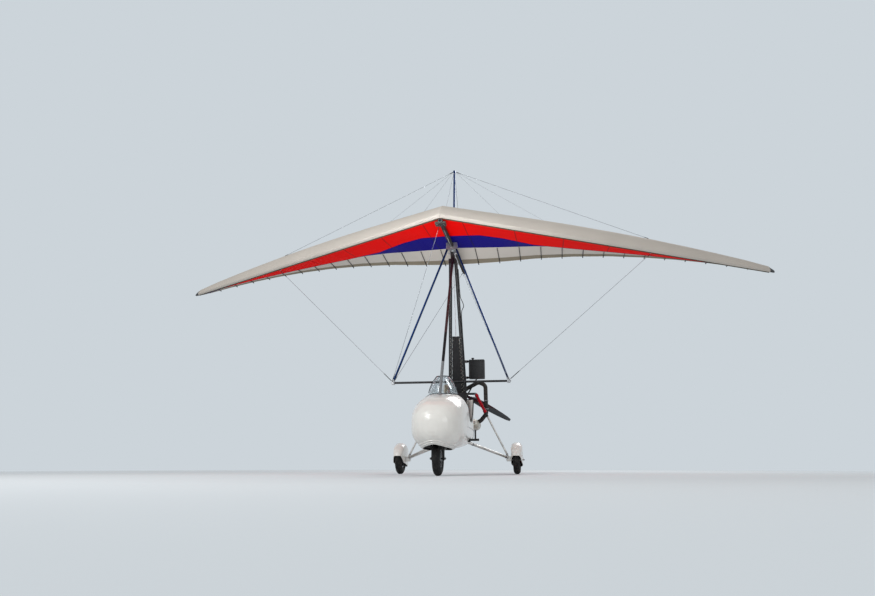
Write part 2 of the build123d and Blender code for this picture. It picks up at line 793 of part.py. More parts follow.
def tyre_profile():
    # Half section of a tyre, radius against width
    w = TYRE_W / 2
    r = TYRE_R
    parts = [
        Line((RIM_R, -w * 0.72), (RIM_R, w * 0.72)),
        Line((RIM_R, w * 0.72), (RIM_R + 28, w)),
        Line((RIM_R + 28, w), (r - 34, w)),
        ThreePointArc((r - 34, w), (r - 9, w * 0.72), (r, 0)),
        ThreePointArc((r, 0), (r - 9, -w * 0.72), (r - 34, -w)),
        Line((r - 34, -w), (RIM_R + 28, -w)),
        Line((RIM_R + 28, -w), (RIM_R, -w * 0.72)),
    ]
    return parts


def make_tyre():
    flat = make_face(tyre_profile())
    placed = Plane(origin=(0, 0, 0), x_dir=(0, 1, 0), z_dir=(0, 0, 1)) * flat
    return revolve(placed, axis=Axis.X)


def make_rim(bore):
    w = TYRE_W / 2 * 0.72
    body = wheel_disc(-w, w, RIM_R - SEAT_GAP)
    body -= wheel_disc(12, w + 1, RIM_R - 14)
    body -= wheel_disc(-w - 1, -12, RIM_R - 14)
    body += wheel_disc(-w - 4, w + 4, 26)
    body -= wheel_disc(-w - 10, w + 10, bore + PIN_GAP)
    for i in range(6):
        body -= Rot(60 * i, 0, 0) * Pos(0, 0, (RIM_R + 20) / 2) * Rot(0, 90, 0) * Cylinder(13, 60)
    return body


def make_fork():
    y0 = NOSE_WHEEL_Y
    body = rod((0, STEER_Y, 430), (0, STEER_Y, 640), 15)
    body += block(-78, 78, STEER_Y - 26, STEER_Y + 66, 416, 434)
    for side in (-1, 1):
        x0, x1 = sorted((side * 66, side * 78))
        body += block(x0, x1, y0 - 18, y0 + 18, TYRE_R - 22, 430)
    body += rod((-84, y0, TYRE_R), (84, y0, TYRE_R), AXLE_R)
    body += rod((-190, STEER_Y, 625), (190, STEER_Y, 625), 11)
    return body


# Wheel fairing sections: place from the axle, half width, top, bottom
SPAT = (
    (-236.0, 18.0, 40.0, -10.0),
    (-225.0, 42.0, 92.0, -70.0),
    (-195.0, 62.0, 142.0, -120.0),
    (-130.0, 76.0, 198.0, -160.0),
    (-30.0, 82.0, 236.0, -170.0),
    (90.0, 80.0, 232.0, -160.0),
    (230.0, 66.0, 198.0, -120.0),
    (390.0, 38.0, 150.0, -40.0),
    (520.0, 6.0, 104.0, 60.0),
)


def spat_form(grow, trim):
    faces = []
    for i, (y, half, top, low) in enumerate(SPAT):
        w = half + grow
        t, b = top + grow, low - grow
        r = min(w * 0.86, (t - b) * 0.3)
        if i == 0:
            y += trim
        if i == len(SPAT) - 1:
            y -= trim * 3
            w = max(w, 2.0)
            r = min(r, w * 0.8)
        faces.append(make_face(rounded_loop(w, t, b, r, y)))
    return ruled(faces)


def rounded_loop(w, t, b, r, y):
    # Rounded rectangle across the flow
    k = r * (1 - math.sqrt(0.5))
    return [
        Line((-w + r, y, t), (w - r, y, t)),
        ThreePointArc((w - r, y, t), (w - k, y, t - k), (w, y, t - r)),
        Line((w, y, t - r), (w, y, b + r)),
        ThreePointArc((w, y, b + r), (w - k, y, b + k), (w - r, y, b)),
        Line((w - r, y, b), (-w + r, y, b)),
        ThreePointArc((-w + r, y, b), (-w + k, y, b + k), (-w, y, b + r)),
        Line((-w, y, b + r), (-w, y, t - r)),
        ThreePointArc((-w, y, t - r), (-w + k, y, t - k), (-w + r, y, t)),
    ]


def make_spat(side):
    shell = spat_form(0.0, 0.0) - spat_form(-4.0, 4.0)
    marks = ((-300, 66), (-215, 50), (-120, -40), (240, -96), (560, -96), (560, -400), (-300, -400))
    low = make_face(Polyline(*[(0, y, z) for y, z in marks], close=True))
    shell -= extrude(low, 200, dir=(1, 0, 0), both=True)
    shell = Pos(side * TRACK / 2, MAIN_Y, TYRE_R) * shell
    inside = sorted((side * (TRACK / 2 - 120), side * (TRACK / 2 - 30)))
    shell -= rod((inside[0], MAIN_Y, TYRE_R), (inside[1], MAIN_Y, TYRE_R), AXLE_R + SEAT_GAP)
    outside = sorted((side * (TRACK / 2 + 30), side * (TRACK / 2 + 110)))
    shell -= rod((outside[0], MAIN_Y, TYRE_R), (outside[1], MAIN_Y, TYRE_R), AXLE_R + SEAT_GAP)
    return shell


def crankcase(grow):
    # Two case halves with their flange, one section along the crankshaft
    right = ((66 + grow, CASE_LOW - grow), (95 + grow, CASE_LOW + 30), (95 + grow, CRANK_Z - 7 - grow),
             (107 + grow, CRANK_Z - 7 - grow), (107 + grow, CRANK_Z + 7 + grow), (95 + grow, CRANK_Z + 7 + grow),
             (86 + grow, CASE_TOP + grow))
    loop = list(right) + [(-x, z) for x, z in reversed(right)]
    face = make_face(Polyline(*[(x, CASE_Y0, z) for x, z in loop], close=True))
    return extrude(face, CASE_Y1 - CASE_Y0, dir=(0, 1, 0))


def make_engine():
    rear = CASE_Y1 + GEAR_CASE_LEN
    body = crankcase(0.0)
    # Starter cover ahead of the case, reduction gear case behind it
    body += rod((0, CASE_Y0 + 1, CRANK_Z), (0, CASE_Y0 - 36, CRANK_Z), CASE_TOP - CRANK_Z - 1)
    body += rod((0, CASE_Y0 - 35, CRANK_Z), (0, CASE_Y0 - 50, CRANK_Z), 52)
    body += rod((0, CASE_Y1 - 1, CRANK_Z), (0, rear, CRANK_Z), 68)
    body += block(-68, 68, CASE_Y1 - 1, rear, CRANK_Z, PROP_Z)
    body += rod((0, CASE_Y1 - 1, PROP_Z), (0, rear, PROP_Z), 78)
    body -= block(-300, 300, CASE_Y0, CASE_Y1 - 8, CASE_TOP, 1400)
    body += rod((0, rear - 8, PROP_Z), (0, PROP_Y - HUB_FRONT - 0.3, PROP_Z), 30)
    body += rod((0, rear - 8, PROP_Z), (0, PROP_Y - HUB_FRONT + 16, PROP_Z), SHAFT_R)
    # Bearer tubes down to a plate on the beam
    foot = BEAM_Z + BEAM_H / 2 + SEAT_GAP
    for x in (-80, 80):
        for y in (CASE_Y0 + 54, CASE_Y1 - 46):
            body += rod((x, y, foot + 5), (x, y, CASE_LOW + 20), 13)
    body += block(-96, 96, CASE_Y0 + 30, CASE_Y1 - 22, foot, foot + 17)
    return body


def barrel(y, r, z0, z1):
    # Upright cylinder of the engine between two heights
    return Pos(0, y, (z0 + z1) / 2) * Cylinder(r, z1 - z0)


def barrels(r, z0, z1):
    front, rear = CYL_SPOTS
    return barrel(front, r, z0, z1) + barrel(rear, r, z0, z1)


def make_cylinders():
    front, rear = CYL_SPOTS
    low = CASE_TOP + SEAT_GAP
    # Water jacket round both cylinders, its base flange and the head
    made = barrels(CYL_R, low, HEAD_LOW) + block(-44, 44, front, rear, low, HEAD_LOW)
    made += barrels(CYL_R + 6, low, low + 12) + block(-CYL_R, CYL_R, front, rear, low, low + 12)
    head = block(-CYL_R - 3, CYL_R + 3, front - CYL_R - 3, rear + CYL_R + 3, HEAD_LOW, HEAD_TOP)
    made += fillet(head.edges().filter_by(Axis.Z), 30)
    for y in CYL_SPOTS:
        made += barrel(y, 15, HEAD_TOP - 1, HEAD_TOP + 12)
        for turn in (45, 135, 225, 315):
            made += Pos(0, y, HEAD_TOP) * Rot(0, 0, turn) * Pos(46, 0, 2) * Cylinder(8, 12)
    # Water outlet on the head
    made += rod((0, (front + rear) / 2, HEAD_TOP - 1), (0, (front + rear) / 2, HEAD_TOP + 34), 17)
    return made


def radiator_box(y0, y1, edge):
    # Box of the radiator's outline less an edge, between two faces
    half_w, half_h = RADIATOR_W / 2 - edge, RADIATOR_H / 2 - edge
    return block(RADIATOR_X - half_w, RADIATOR_X + half_w, y0, y1, RADIATOR_Z - half_h, RADIATOR_Z + half_h)


def make_radiator():
    y0, y1 = RADIATOR_Y - RADIATOR_D / 2, RADIATOR_Y + RADIATOR_D / 2
    made = fillet(radiator_box(y0, y1, 0.0).edges().filter_by(Axis.Y), 14)
    made -= radiator_box(y0 - 1, y0 + 16, 17.0)
    made -= radiator_box(y1 - 16, y1 + 1, 17.0)
    # Flat tubes across both faces of the core
    half_w, open_h = RADIATOR_W / 2 - 17, RADIATOR_H - 34
    for i in range(RADIATOR_TUBES):
        z = RADIATOR_Z - open_h / 2 + (i + 0.5) * open_h / RADIATOR_TUBES
        made += block(RADIATOR_X - half_w, RADIATOR_X + half_w, y0 + 8, y1 - 8, z - 4, z + 4)
    # Filler neck, hose stubs and the arm down to the engine
    top, low = RADIATOR_Z + RADIATOR_H / 2, RADIATOR_Z - RADIATOR_H / 2
    made += rod((RADIATOR_X - 60, RADIATOR_Y, top - 2), (RADIATOR_X - 60, RADIATOR_Y, top + 20), 15)
    made += rod((RADIATOR_X - 60, RADIATOR_Y, top + 16), (RADIATOR_X - 60, RADIATOR_Y, top + 27), 22)
    inner = RADIATOR_X - RADIATOR_W / 2
    for z in (top - 24, low + 24):
        made += rod((inner + 2, RADIATOR_Y, z), (inner - 34, RADIATOR_Y, z), 15)
    arm = rod((RADIATOR_X - 6, RADIATOR_Y, low + 2), (80, CYL_SPOTS[0] + 22, CRANK_Z + 3), 10)
    return made + (arm - crankcase(SEAT_GAP))


def make_air_box():
    # Intake box with a carburettor and a port for each cylinder
    y0, y1 = CYL_SPOTS[0] - 34, CYL_SPOTS[1] + 34
    box = block(-236, -128, y0, y1, PORT_Z - 66, PORT_Z + 72)
    box = fillet(box.edges(), 26)
    box += block(-186, -178, y0 - 5, y1 + 5, PORT_Z - 60, PORT_Z + 66)
    for y in CYL_SPOTS:
        box += rod((-134, y, PORT_Z), (-84, y, PORT_Z), 27)
        box += rod((-108, y, PORT_Z + 20), (-108, y, PORT_Z + 66), 17)
        box += rod((-90, y, PORT_Z), (-40, y, PORT_Z), 20)
    return box - barrels(CYL_R + SEAT_GAP, CASE_TOP, HEAD_LOW)


def make_exhaust():
    # Manifold from both ports into one pipe that loops down to the muffler
    mid = sum(CYL_SPOTS) / 2
    points = (
        (96, mid, PORT_Z + 10), (280, mid, PORT_Z + 106), (386, mid - 18, PORT_Z + 60),
        (394, mid - 38, MUFFLER_Z + 160), (322, mid - 66, MUFFLER_Z + 66), (MUFFLER_X + 8, mid - 78, MUFFLER_Z + 12),
    )
    made = bent_pipe(points, PIPE_R, 70)
    for y in CYL_SPOTS:
        made += rod((CYL_R - 18, y, PORT_Z), (104, mid, PORT_Z + 12), 21)
    made += rod((86, mid, PORT_Z + 6), (102, mid, PORT_Z + 13), PIPE_R + 6)
    jacket = barrels(CYL_R + SEAT_GAP, CASE_TOP, HEAD_LOW)
    jacket += block(-44 - SEAT_GAP, 44 + SEAT_GAP, *CYL_SPOTS, CASE_TOP, HEAD_LOW)
    return made - muffler_form(SEAT_GAP) - jacket


def muffler_form(grow):
    x, z = MUFFLER_X, MUFFLER_Z
    return rod((x, MUFFLER_Y0 - grow, z), (x, MUFFLER_Y1 + grow, z), MUFFLER_R + grow)


def make_muffler():
    # Can with coned ends, two bands and an outlet
    r, y0, y1 = MUFFLER_R, MUFFLER_Y0, MUFFLER_Y1
    marks = (
        (0, y0), (26, y0), (56, y0 + 18), (r, y0 + 52), (r, y0 + 115), (r + 4, y0 + 115), (r + 4, y0 + 129),
        (r, y0 + 129), (r, y1 - 80), (r + 4, y1 - 80), (r + 4, y1 - 66), (r, y1 - 66), (r, y1 - 46),
        (48, y1 - 12), (26, y1), (0, y1),
    )
    half = make_face(Polyline(*[(radius, y, 0) for radius, y in marks], close=True))
    can = Pos(MUFFLER_X, 0, MUFFLER_Z) * revolve(half, axis=Axis.Y)
    return can + rod((MUFFLER_X, y0 + 6, MUFFLER_Z), (MUFFLER_X + 14, y0 - 46, MUFFLER_Z - 26), 17)


def make_tank():
    tank = block(-150, 150, 340, 488, BEAM_Z + BEAM_H / 2 + SEAT_GAP, 700)
    return fillet(tank.edges(), 26)


def make_seat(y_front, y_back, z, lean, height):
    # Cushion and leaning back, two pads that meet along a line
    cushion = block(-SEAT_HALF, SEAT_HALF, y_front, y_back, z, z + CUSHION)
    cushion = fillet(cushion.edges(), 24)
    back = block(-SEAT_HALF, SEAT_HALF, 0, 76, 0, height)
    back = fillet(back.edges(), 24)
    tuck = math.tan(math.radians(lean)) * (CUSHION - 24)
    back = Pos(0, y_back - tuck, z + 8) * Rot(-lean, 0, 0) * back
    back -= block(-300, 300, y_front - 50, y_back + SEAT_GAP, 0, z + CUSHION)
    return [cushion, back - block(-300, 300, y_front, y_back + 200, 0, z)]


def make_back_panel():
    faces = []
    for z in (1130, 1960):
        p = mast_point(z, 1)
        half = p[0] - MAST_R - 0.25
        marks = ((-half, p[1] - 5, z), (half, p[1] - 5, z), (half, p[1] + 5, z), (-half, p[1] + 5, z))
        faces.append(make_face(Polyline(*marks, close=True)))
    return ruled(faces)


def make_dash():
    form = nacelle_form(-NACELLE_WALL - SEAT_GAP, NACELLE_WALL, nacelle_rear() - NACELLE_WALL)
    plate = block(-400, 400, DASH_Y - 24, DASH_Y - 6, 760, 1100)
    return plate & form


def screen_form(inset):
    # Solid of revolution that bulges as it narrows upwards
    low, mid, high = (196 - inset, 0), (170 - inset, 170), (96 - inset, 300)
    side = [ThreePointArc(*[(r, 0, h) for r, h in (low, mid, high)])]
    rest = Polyline((high[0], 0, high[1]), (0, 0, high[1]), (0, 0, 0), (low[0], 0, 0))
    return Pos(0, DASH_Y + 50, 930) * revolve(make_face(side + [rest]), axis=Axis.Z)


def make_windscreen():
    shell = screen_form(0.0) - screen_form(SCREEN_WALL)
    shell -= nacelle_form(SEAT_GAP, 0.0, nacelle_rear())
    shell -= block(-400, 400, DASH_Y - 6, 0, 600, 1400)
    return shell & block(-400, 400, -2000, 0, 600, 930 + 299)


# Propeller blade sections: share of the radius, chord, thickness, pitch
BLADE = (
    (0.055, 54.0, 30.0, 66.0),
    (0.145, 84.0, 24.0, 50.0),
    (0.260, 110.0, 19.0, 37.0),
    (0.430, 112.0, 15.0, 27.0),
    (0.620, 98.0, 12.0, 21.0),
    (0.800, 80.0, 9.0, 17.0),
    (0.930, 60.0, 7.0, 15.0),
    (1.000, 34.0, 5.0, 14.0),
)


def blade_face(r, chord, thick, turn):
    # Lens section of a propeller blade at radius r, turned by its pitch
    k = math.radians(turn)
    a = (r, -math.sin(k) * chord / 2, -math.cos(k) * chord / 2)
    b = (r, math.sin(k) * chord / 2, math.cos(k) * chord / 2)
    m = (r, -math.cos(k) * thick / 2, math.sin(k) * thick / 2)
    n = (r, math.cos(k) * thick / 2, -math.sin(k) * thick / 2)
    return make_face([ThreePointArc(a, m, b), ThreePointArc(b, n, a)])


def make_propeller():
    blade = ruled([blade_face(r * PROP_R, chord, thick, turn) for r, chord, thick, turn in BLADE])
    made = rod((0, -HUB_FRONT, 0), (0, HUB_FRONT, 0), 62)
    made += rod((0, HUB_FRONT, 0), (0, HUB_FRONT + 28, 0), 34)
    made -= rod((0, -HUB_FRONT - 1, 0), (0, -HUB_FRONT + 19, 0), SHAFT_R + PIN_GAP)
    for i in range(3):
        made += Rot(0, 30 + i * 120, 0) * blade
    return Pos(0, PROP_Y, PROP_Z) * made


def origin_y():
    # Middle of the craft's length: the origin lies on the ground under it
    tip = station(len(STATIONS) - 1)
    tail = wing_point(tip, tip["chord"], 0.0)[1]
    return (nacelle_rows()[0]["y"] + tail) / 2


def save(name, made):
    pieces = made if isinstance(made, list) else [made]
    place = Pos(0, -origin_y(), 0)
    flat = [place * solid for piece in pieces for solid in piece.solids()]
    shape = flat[0] if len(flat) == 1 else Compound(children=flat)
    export_step(shape, "parts/" + name + ".step")


def main():
    os.makedirs("parts", exist_ok=True)
    slot = kingpost_slot()
    sail = make_sail() - slot
    save("sail_left", place_wing(sail))
    save("sail_right", place_wing(mirrored(sail)))
    pairs = {
        "trailing_bands": [make_trailing_band()],
        "red_panels": [make_red_panel()],
        "blue_panels": [make_blue_panel() - slot],
        "battens": make_battens(),
    }
    for name, made in pairs.items():
        both = made + [mirrored(m) for m in made]
        save(name, [place_wing(m) for m in both])
    cap = make_tip_cap()
    save("end_caps", [place_wing(m) for m in (cap, mirrored(cap), make_keel_plug())])
    save("keel", place_wing(make_keel()))
    save("keel_pocket", place_wing(make_keel_pocket()))
    save("nose_cover", place_wing(make_nose_cover()))
    save("kingpost", place_wing(make_kingpost()))
    plate = stay_plate()
    save("stays", [place_wing(m) for m in make_stays() + [plate, mirrored(plate)]])
    save("uprights", [place_wing(make_upright(s)) for s in (-1, 1)])
    save("basebar", place_wing(make_bar()))
    save("frame_fittings", [place_wing(m) for m in make_fittings()])
    save("hang_block", place_wing(make_hang_block()))
    save("mast", make_mast())
    save("front_strut", make_front_strut())
    save("chassis", make_chassis())
    save("strut_foot", make_strut_foot())
    save("seat_base", make_seat_base())
    save("nacelle", make_nacelle())
    save("dash_panel", make_dash())
    save("windscreen", make_windscreen())
    save("front_seat", make_seat(-560, -215, FRONT_SEAT_Z, 14, 470))
    save("rear_seat", make_seat(-76, 212, REAR_SEAT_Z, 8, 520))
    save("back_panel", make_back_panel())
    save("step_bar", make_step_bar())
    save("fuel_tank", make_tank())
    save("gear_legs", make_gear())
    save("shock_units", make_shocks())
    save("spat_left", make_spat(1))
    save("spat_right", make_spat(-1))
    save("engine_block", make_engine())
    save("cylinders", make_cylinders())
    save("radiator", make_radiator())
    save("air_box", make_air_box())
    save("exhaust_pipe", make_exhaust())
    save("muffler", make_muffler())
    save("nose_fork", make_fork())
    tyre, rim = make_tyre(), make_rim(AXLE_R)
    save("nose_tyre", Pos(0, NOSE_WHEEL_Y, TYRE_R) * tyre)
    save("nose_rim", Pos(0, NOSE_WHEEL_Y, TYRE_R) * rim)
    save("left_tyre", Pos(TRACK / 2, MAIN_Y, TYRE_R) * tyre)
    save("left_rim", Pos(TRACK / 2, MAIN_Y, TYRE_R) * rim)
    save("right_tyre", Pos(-TRACK / 2, MAIN_Y, TYRE_R) * tyre)
    save("right_rim", Pos(-TRACK / 2, MAIN_Y, TYRE_R) * rim)
    save("propeller", make_propeller())


main()
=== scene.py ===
"""Looks of a parked flex-wing microlight: cloth, tubing, shells, engine details and finishes."""

import json
import math

import bpy
import numpy as np
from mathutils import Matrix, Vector


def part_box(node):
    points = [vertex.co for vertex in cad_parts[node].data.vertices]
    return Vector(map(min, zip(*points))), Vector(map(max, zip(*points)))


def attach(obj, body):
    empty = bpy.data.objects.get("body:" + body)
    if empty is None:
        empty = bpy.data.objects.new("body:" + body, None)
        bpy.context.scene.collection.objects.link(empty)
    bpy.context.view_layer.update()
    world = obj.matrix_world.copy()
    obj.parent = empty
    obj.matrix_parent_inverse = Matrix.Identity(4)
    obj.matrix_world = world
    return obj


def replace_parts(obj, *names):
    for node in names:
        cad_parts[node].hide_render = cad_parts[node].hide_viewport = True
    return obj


bl_info = {
    "name": "Flex-wing microlight",
    "version": (1, 0, 0),
    "blender": (4, 5, 0),
    "location": "3D View > Sidebar > Microlight",
    "description": "Cloth, tubing, engine details and finishes of a parked flex-wing microlight",
    "category": "Object",
}

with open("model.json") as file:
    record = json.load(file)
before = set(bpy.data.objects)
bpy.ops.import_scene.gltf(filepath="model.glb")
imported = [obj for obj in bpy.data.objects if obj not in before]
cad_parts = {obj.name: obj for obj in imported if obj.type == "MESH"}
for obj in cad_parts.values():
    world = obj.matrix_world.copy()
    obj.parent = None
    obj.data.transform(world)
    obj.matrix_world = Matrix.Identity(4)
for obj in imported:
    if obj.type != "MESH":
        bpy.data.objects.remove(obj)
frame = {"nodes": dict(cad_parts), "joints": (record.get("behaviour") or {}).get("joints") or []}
NODES = frame["nodes"]
# The hang bolt, which the wing pitches on
BOLT = np.array(next(j["pos_m"] for j in frame["joints"] if j["name"] == "wing_pitch"))
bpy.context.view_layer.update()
MM = 0.001


# Colours

def linear(code):
    """Linear RGB of an sRGB hex code: c / 12.92 below 0.04045, else ((c + 0.055) / 1.055) ** 2.4."""
    parts = [int(code[i:i + 2], 16) / 255 for i in (0, 2, 4)]
    return tuple(c / 12.92 if c <= 0.04045 else ((c + 0.055) / 1.055) ** 2.4 for c in parts)


def colour_value(name, description, code):
    return bpy.props.FloatVectorProperty(
        name=name, description=description, subtype="COLOR", size=3, min=0, max=1, default=linear(code))


def length_value(name, description, default):
    return bpy.props.FloatProperty(
        name=name, description=description, subtype="DISTANCE", unit="LENGTH", default=default, min=0)


class StageSettings(bpy.types.PropertyGroup):
    distance: length_value("Distance", "From the hang bolt to the camera, level", 10.0)
    height: length_value("Height", "Camera above the floor", 0.12)
    azimuth: bpy.props.FloatProperty(
        name="Azimuth", description="Camera round the craft from the nose, towards port",
        subtype="ANGLE", default=math.radians(8.0))
    lens: bpy.props.FloatProperty(name="Lens", description="Focal length in millimetres", default=29.2)
    aim_side: bpy.props.FloatProperty(
        name="Aim to starboard", description="Where the camera looks, sideways from the hang bolt",
        subtype="DISTANCE", unit="LENGTH", default=-0.226)
    aim_height: length_value("Aim height", "Height that the camera looks at", 2.48)
    floor: colour_value("Floor", "Pale floor", "E2E8EC")
    backdrop: colour_value("Backdrop", "Pale surroundings", "CCD4DA")


class ClothSettings(bpy.types.PropertyGroup):
    white: colour_value("Sail", "Upper skin and rear strip", "CEC7BE")
    band: colour_value("Trailing band", "Laminated band along the rear edge", "8E8574")
    red: colour_value("Front panels", "Lower panels behind the leading edge", "F20400")
    blue: colour_value("Rear panels", "Lower panels ahead of the rear strip", "130880")
    thread: length_value("Thread spacing", "Ripstop grid, drawn coarse so that it shows", 0.006)
    tape: length_value("Tape width", "Sewn tape over each rib line", 0.014)


class ShellSettings(bpy.types.PropertyGroup):
    gelcoat: colour_value("Gelcoat", "Pod and wheel fairings", "E9E7E1")
    # The inner colour is painted shade: the inner faces of the pod and fairings turn near black, as the wheel
    # arches and cockpit are in shade
    inner: colour_value("Inside", "Unpainted inner faces", "2A2927")
    seat: colour_value("Seats", "Coated seat fabric", "17171A")


# Nodes of materials

def add_node(tree, kind, inputs=None, output=0, **settings):
    """Adds one node with its settings, values and links, and gives the output that is asked for."""
    made = tree.nodes.new(kind)
    for key, value in settings.items():
        setattr(made, key, value)
    for key, value in (inputs or {}).items():
        if isinstance(value, bpy.types.NodeSocket):
            tree.links.new(value, made.inputs[key])
        else:
            made.inputs[key].default_value = value
    return made.outputs[output] if made.outputs else made


class Finish:
    """A Principled material that is built up over its first colour, on Object coordinates."""

    def __init__(self, name, colour, roughness, **sockets):
        self.material = bpy.data.materials.new(name)
        self.material.use_nodes = True
        self.material.diffuse_color = (*colour, 1)
        self.tree = self.material.node_tree
        self.tree.nodes.clear()
        self.colour = colour
        values = {key.replace("_", " "): value for key, value in sockets.items()}
        self.surface = self.add("ShaderNodeBsdfPrincipled", {
            "Base Color": (*colour, 1), "Roughness": roughness, **values})
        self.out = self.add("ShaderNodeOutputMaterial", {"Surface": self.surface})
        self.where = self.add("ShaderNodeTexCoord", output="Object")

    def add(self, kind, inputs=None, output=0, **settings):
        return add_node(self.tree, kind, inputs, output, **settings)

    def feed(self, name, socket):
        """Links a socket to one of the shader's inputs."""
        self.tree.links.new(socket, self.surface.node.inputs[name])

    def lumps(self, size, detail, roughness=0.55, stretch=None):
        """Noise with lumps about size metres across, or finer along each axis by the factors of stretch."""
        where = self.where
        if stretch:
            where = self.add("ShaderNodeMapping", {"Vector": where, "Scale": stretch})
        return self.add("ShaderNodeTexNoise", {
            "Vector": where, "Scale": 1 / size, "Detail": detail, "Roughness": roughness})

    def patches(self, size, detail, low, high, top=1.0, roughness=0.55, stretch=None):
        """Soft patches: 0 where the lumps are under low, and top where they are over high."""
        lumps = self.lumps(size, detail, roughness, stretch)
        return self.add("ShaderNodeMapRange", {0: lumps, 1: low, 2: high, 3: 0.0, 4: top})

    def threads(self, axis, spacing):
        """Sine of the place along an axis, with one wave for each thread."""
        place = self.add("ShaderNodeSeparateXYZ", {0: self.where}, axis)
        turned = self.add("ShaderNodeMath", {0: place, 1: 2 * math.pi / spacing}, operation="MULTIPLY")
        return self.add("ShaderNodeMath", {0: turned}, operation="SINE")

    def paint(self, *layers, under=None):
        """Lays the colour of each (share, colour) pair over the ones before it, first over under."""
        colour = (*(under or self.colour), 1)
        for share, over in layers:
            colour = self.add("ShaderNodeMix", {0: share, 6: colour, 7: (*over, 1)}, 2, data_type="RGBA")
        self.feed("Base Color", colour)

    def relief(self, height, depth, strength):
        """Bumps that are depth metres high where height is 1."""
        self.feed("Normal", self.add("ShaderNodeBump", {
            "Height": height, "Distance": depth, "Strength": strength}))

    def roughen(self, share, at_none, at_full):
        """Roughness from at_none, where the share is 0, to at_full, where it is 1."""
        self.feed("Roughness", self.add("ShaderNodeMapRange", {0: share, 3: at_none, 4: at_full}))


def shade(colour, factor):
    return tuple(min(1.0, c * factor) for c in colour)


# Finishes

def woven_polyester(name, colour, thread, dirt=0.10, lustre=0.08):
    """Calendered polyester sailcloth: matt, a faint ripstop grid, soft grey handling marks."""
    cloth = Finish(name, colour, 0.7, Specular_IOR_Level=lustre)
    cloth.paint((cloth.patches(0.55, 4.0, 0.35, 0.75, 2.2 * dirt), shade(colour, 0.72)),
                (cloth.patches(0.03, 2.0, 0.3, 0.7, dirt), shade(colour, 0.85)))
    warp, weft = cloth.threads("X", thread), cloth.threads("Y", thread)
    grid = cloth.add("ShaderNodeMath", {0: warp, 1: weft}, operation="MAXIMUM")
    ripple = cloth.lumps(0.45, 1.0)
    height = cloth.add("ShaderNodeMath", {0: ripple, 1: 9.0, 2: grid}, operation="MULTIPLY_ADD")
    cloth.relief(height, 0.0002, 0.6)
    return cloth.material


def anodised_tube(name, colour, roughness=0.28, wear=0.25):
    """Anodised aluminium tube: dyed metal with a satin lustre, paler where hands and clamps rub it."""
    metal = Finish(name, colour, roughness, Metallic=0.85)
    metal.paint((metal.patches(0.05, 5.0, 0.58, 0.75, wear, 0.7), shade(colour, 1.9)))
    metal.relief(metal.lumps(1.0, 2.0, stretch=(900, 900, 40)), 0.00004, 0.4)
    metal.roughen(metal.patches(0.12, 3.0, 0.3, 0.7), roughness - 0.06, roughness + 0.14)
    return metal.material


def bare_aluminium(name, colour, roughness=0.34):
    """Drawn aluminium tube: pale grey metal with lengthwise die lines and dull patches."""
    metal = Finish(name, colour, roughness, Metallic=0.9)
    dull = metal.patches(0.09, 4.0, 0.4, 0.7)
    metal.paint((dull, shade(colour, 0.68)))
    metal.relief(metal.lumps(1.0, 2.0, stretch=(700, 700, 25)), 0.00005, 0.5)
    metal.roughen(dull, roughness - 0.05, roughness + 0.15)
    return metal.material


def powder_coat(name, colour, roughness=0.42):
    """Baked powder coat: even colour under a fine orange-peel skin."""
    coat = Finish(name, colour, roughness, Specular_IOR_Level=0.5)
    coat.paint((coat.patches(0.08, 5.0, 0.62, 0.82, 0.3, 0.7), shade(colour, 2.2)))
    coat.relief(coat.lumps(0.003, 2.0), 0.0001, 0.35)
    return coat.material


def moulded_gelcoat(name, colour, inner, centre, half):
    """Polyester gelcoat from a mould: glossy off-white, road film towards its belly, near black on its inner
    faces as painted shade.

    A face counts as inner where its normal points towards the shell's own middle line."""
    shell = Finish(name, colour, 0.24, Coat_Weight=0.35, Coat_Roughness=0.08)
    low = centre[2] - half[2]
    height = shell.add("ShaderNodeSeparateXYZ", {0: shell.where}, "Z")
    film = shell.add("ShaderNodeMapRange", {0: height, 1: low, 2: low + 0.9 * half[2], 3: 0.55, 4: 0.0})
    streaks = shell.patches(1.0, 4.0, 0.35, 0.7, stretch=(9, 2.5, 5))
    dirt = shell.add("ShaderNodeMath", {0: film, 1: streaks}, operation="MULTIPLY")
    away = shell.add("ShaderNodeVectorMath", {0: shell.where, 1: centre}, operation="SUBTRACT")
    weights = (1 / half[0] ** 2, 0.3 / half[1] ** 2, 1 / half[2] ** 2)
    outward = shell.add("ShaderNodeVectorMath", {0: away, 1: weights}, operation="MULTIPLY")
    normal = shell.add("ShaderNodeNewGeometry", output="Normal")
    facing = shell.add("ShaderNodeVectorMath", {0: outward, 1: normal}, "Value", operation="DOT_PRODUCT")
    # Painted shade: faces that look inwards, in the wheel arches and the cockpit, are made near black
    painted_inner_shade = shell.add("ShaderNodeMapRange", {0: facing, 1: -0.9, 2: -0.7, 3: 1.0, 4: 0.0})
    shell.paint((dirt, shade(colour, 0.66)), (painted_inner_shade, inner))
    shell.roughen(painted_inner_shade, 0.24, 0.8)
    shell.relief(shell.lumps(0.18, 2.0), 0.0006, 0.5)
    return shell.material


def drawn_wire(name, colour):
    """Stranded stainless wire: grey, with the twist of its strands as a fine diagonal."""
    wire = Finish(name, colour, 0.35, Metallic=1.0)
    twist = wire.add("ShaderNodeTexWave", {"Vector": wire.where, "Scale": 120.0}, bands_direction="DIAGONAL")
    wire.relief(twist, 0.0004, 0.8)
    wire.paint((twist, shade(colour, 1.2)), under=shade(colour, 0.7))
    return wire.material


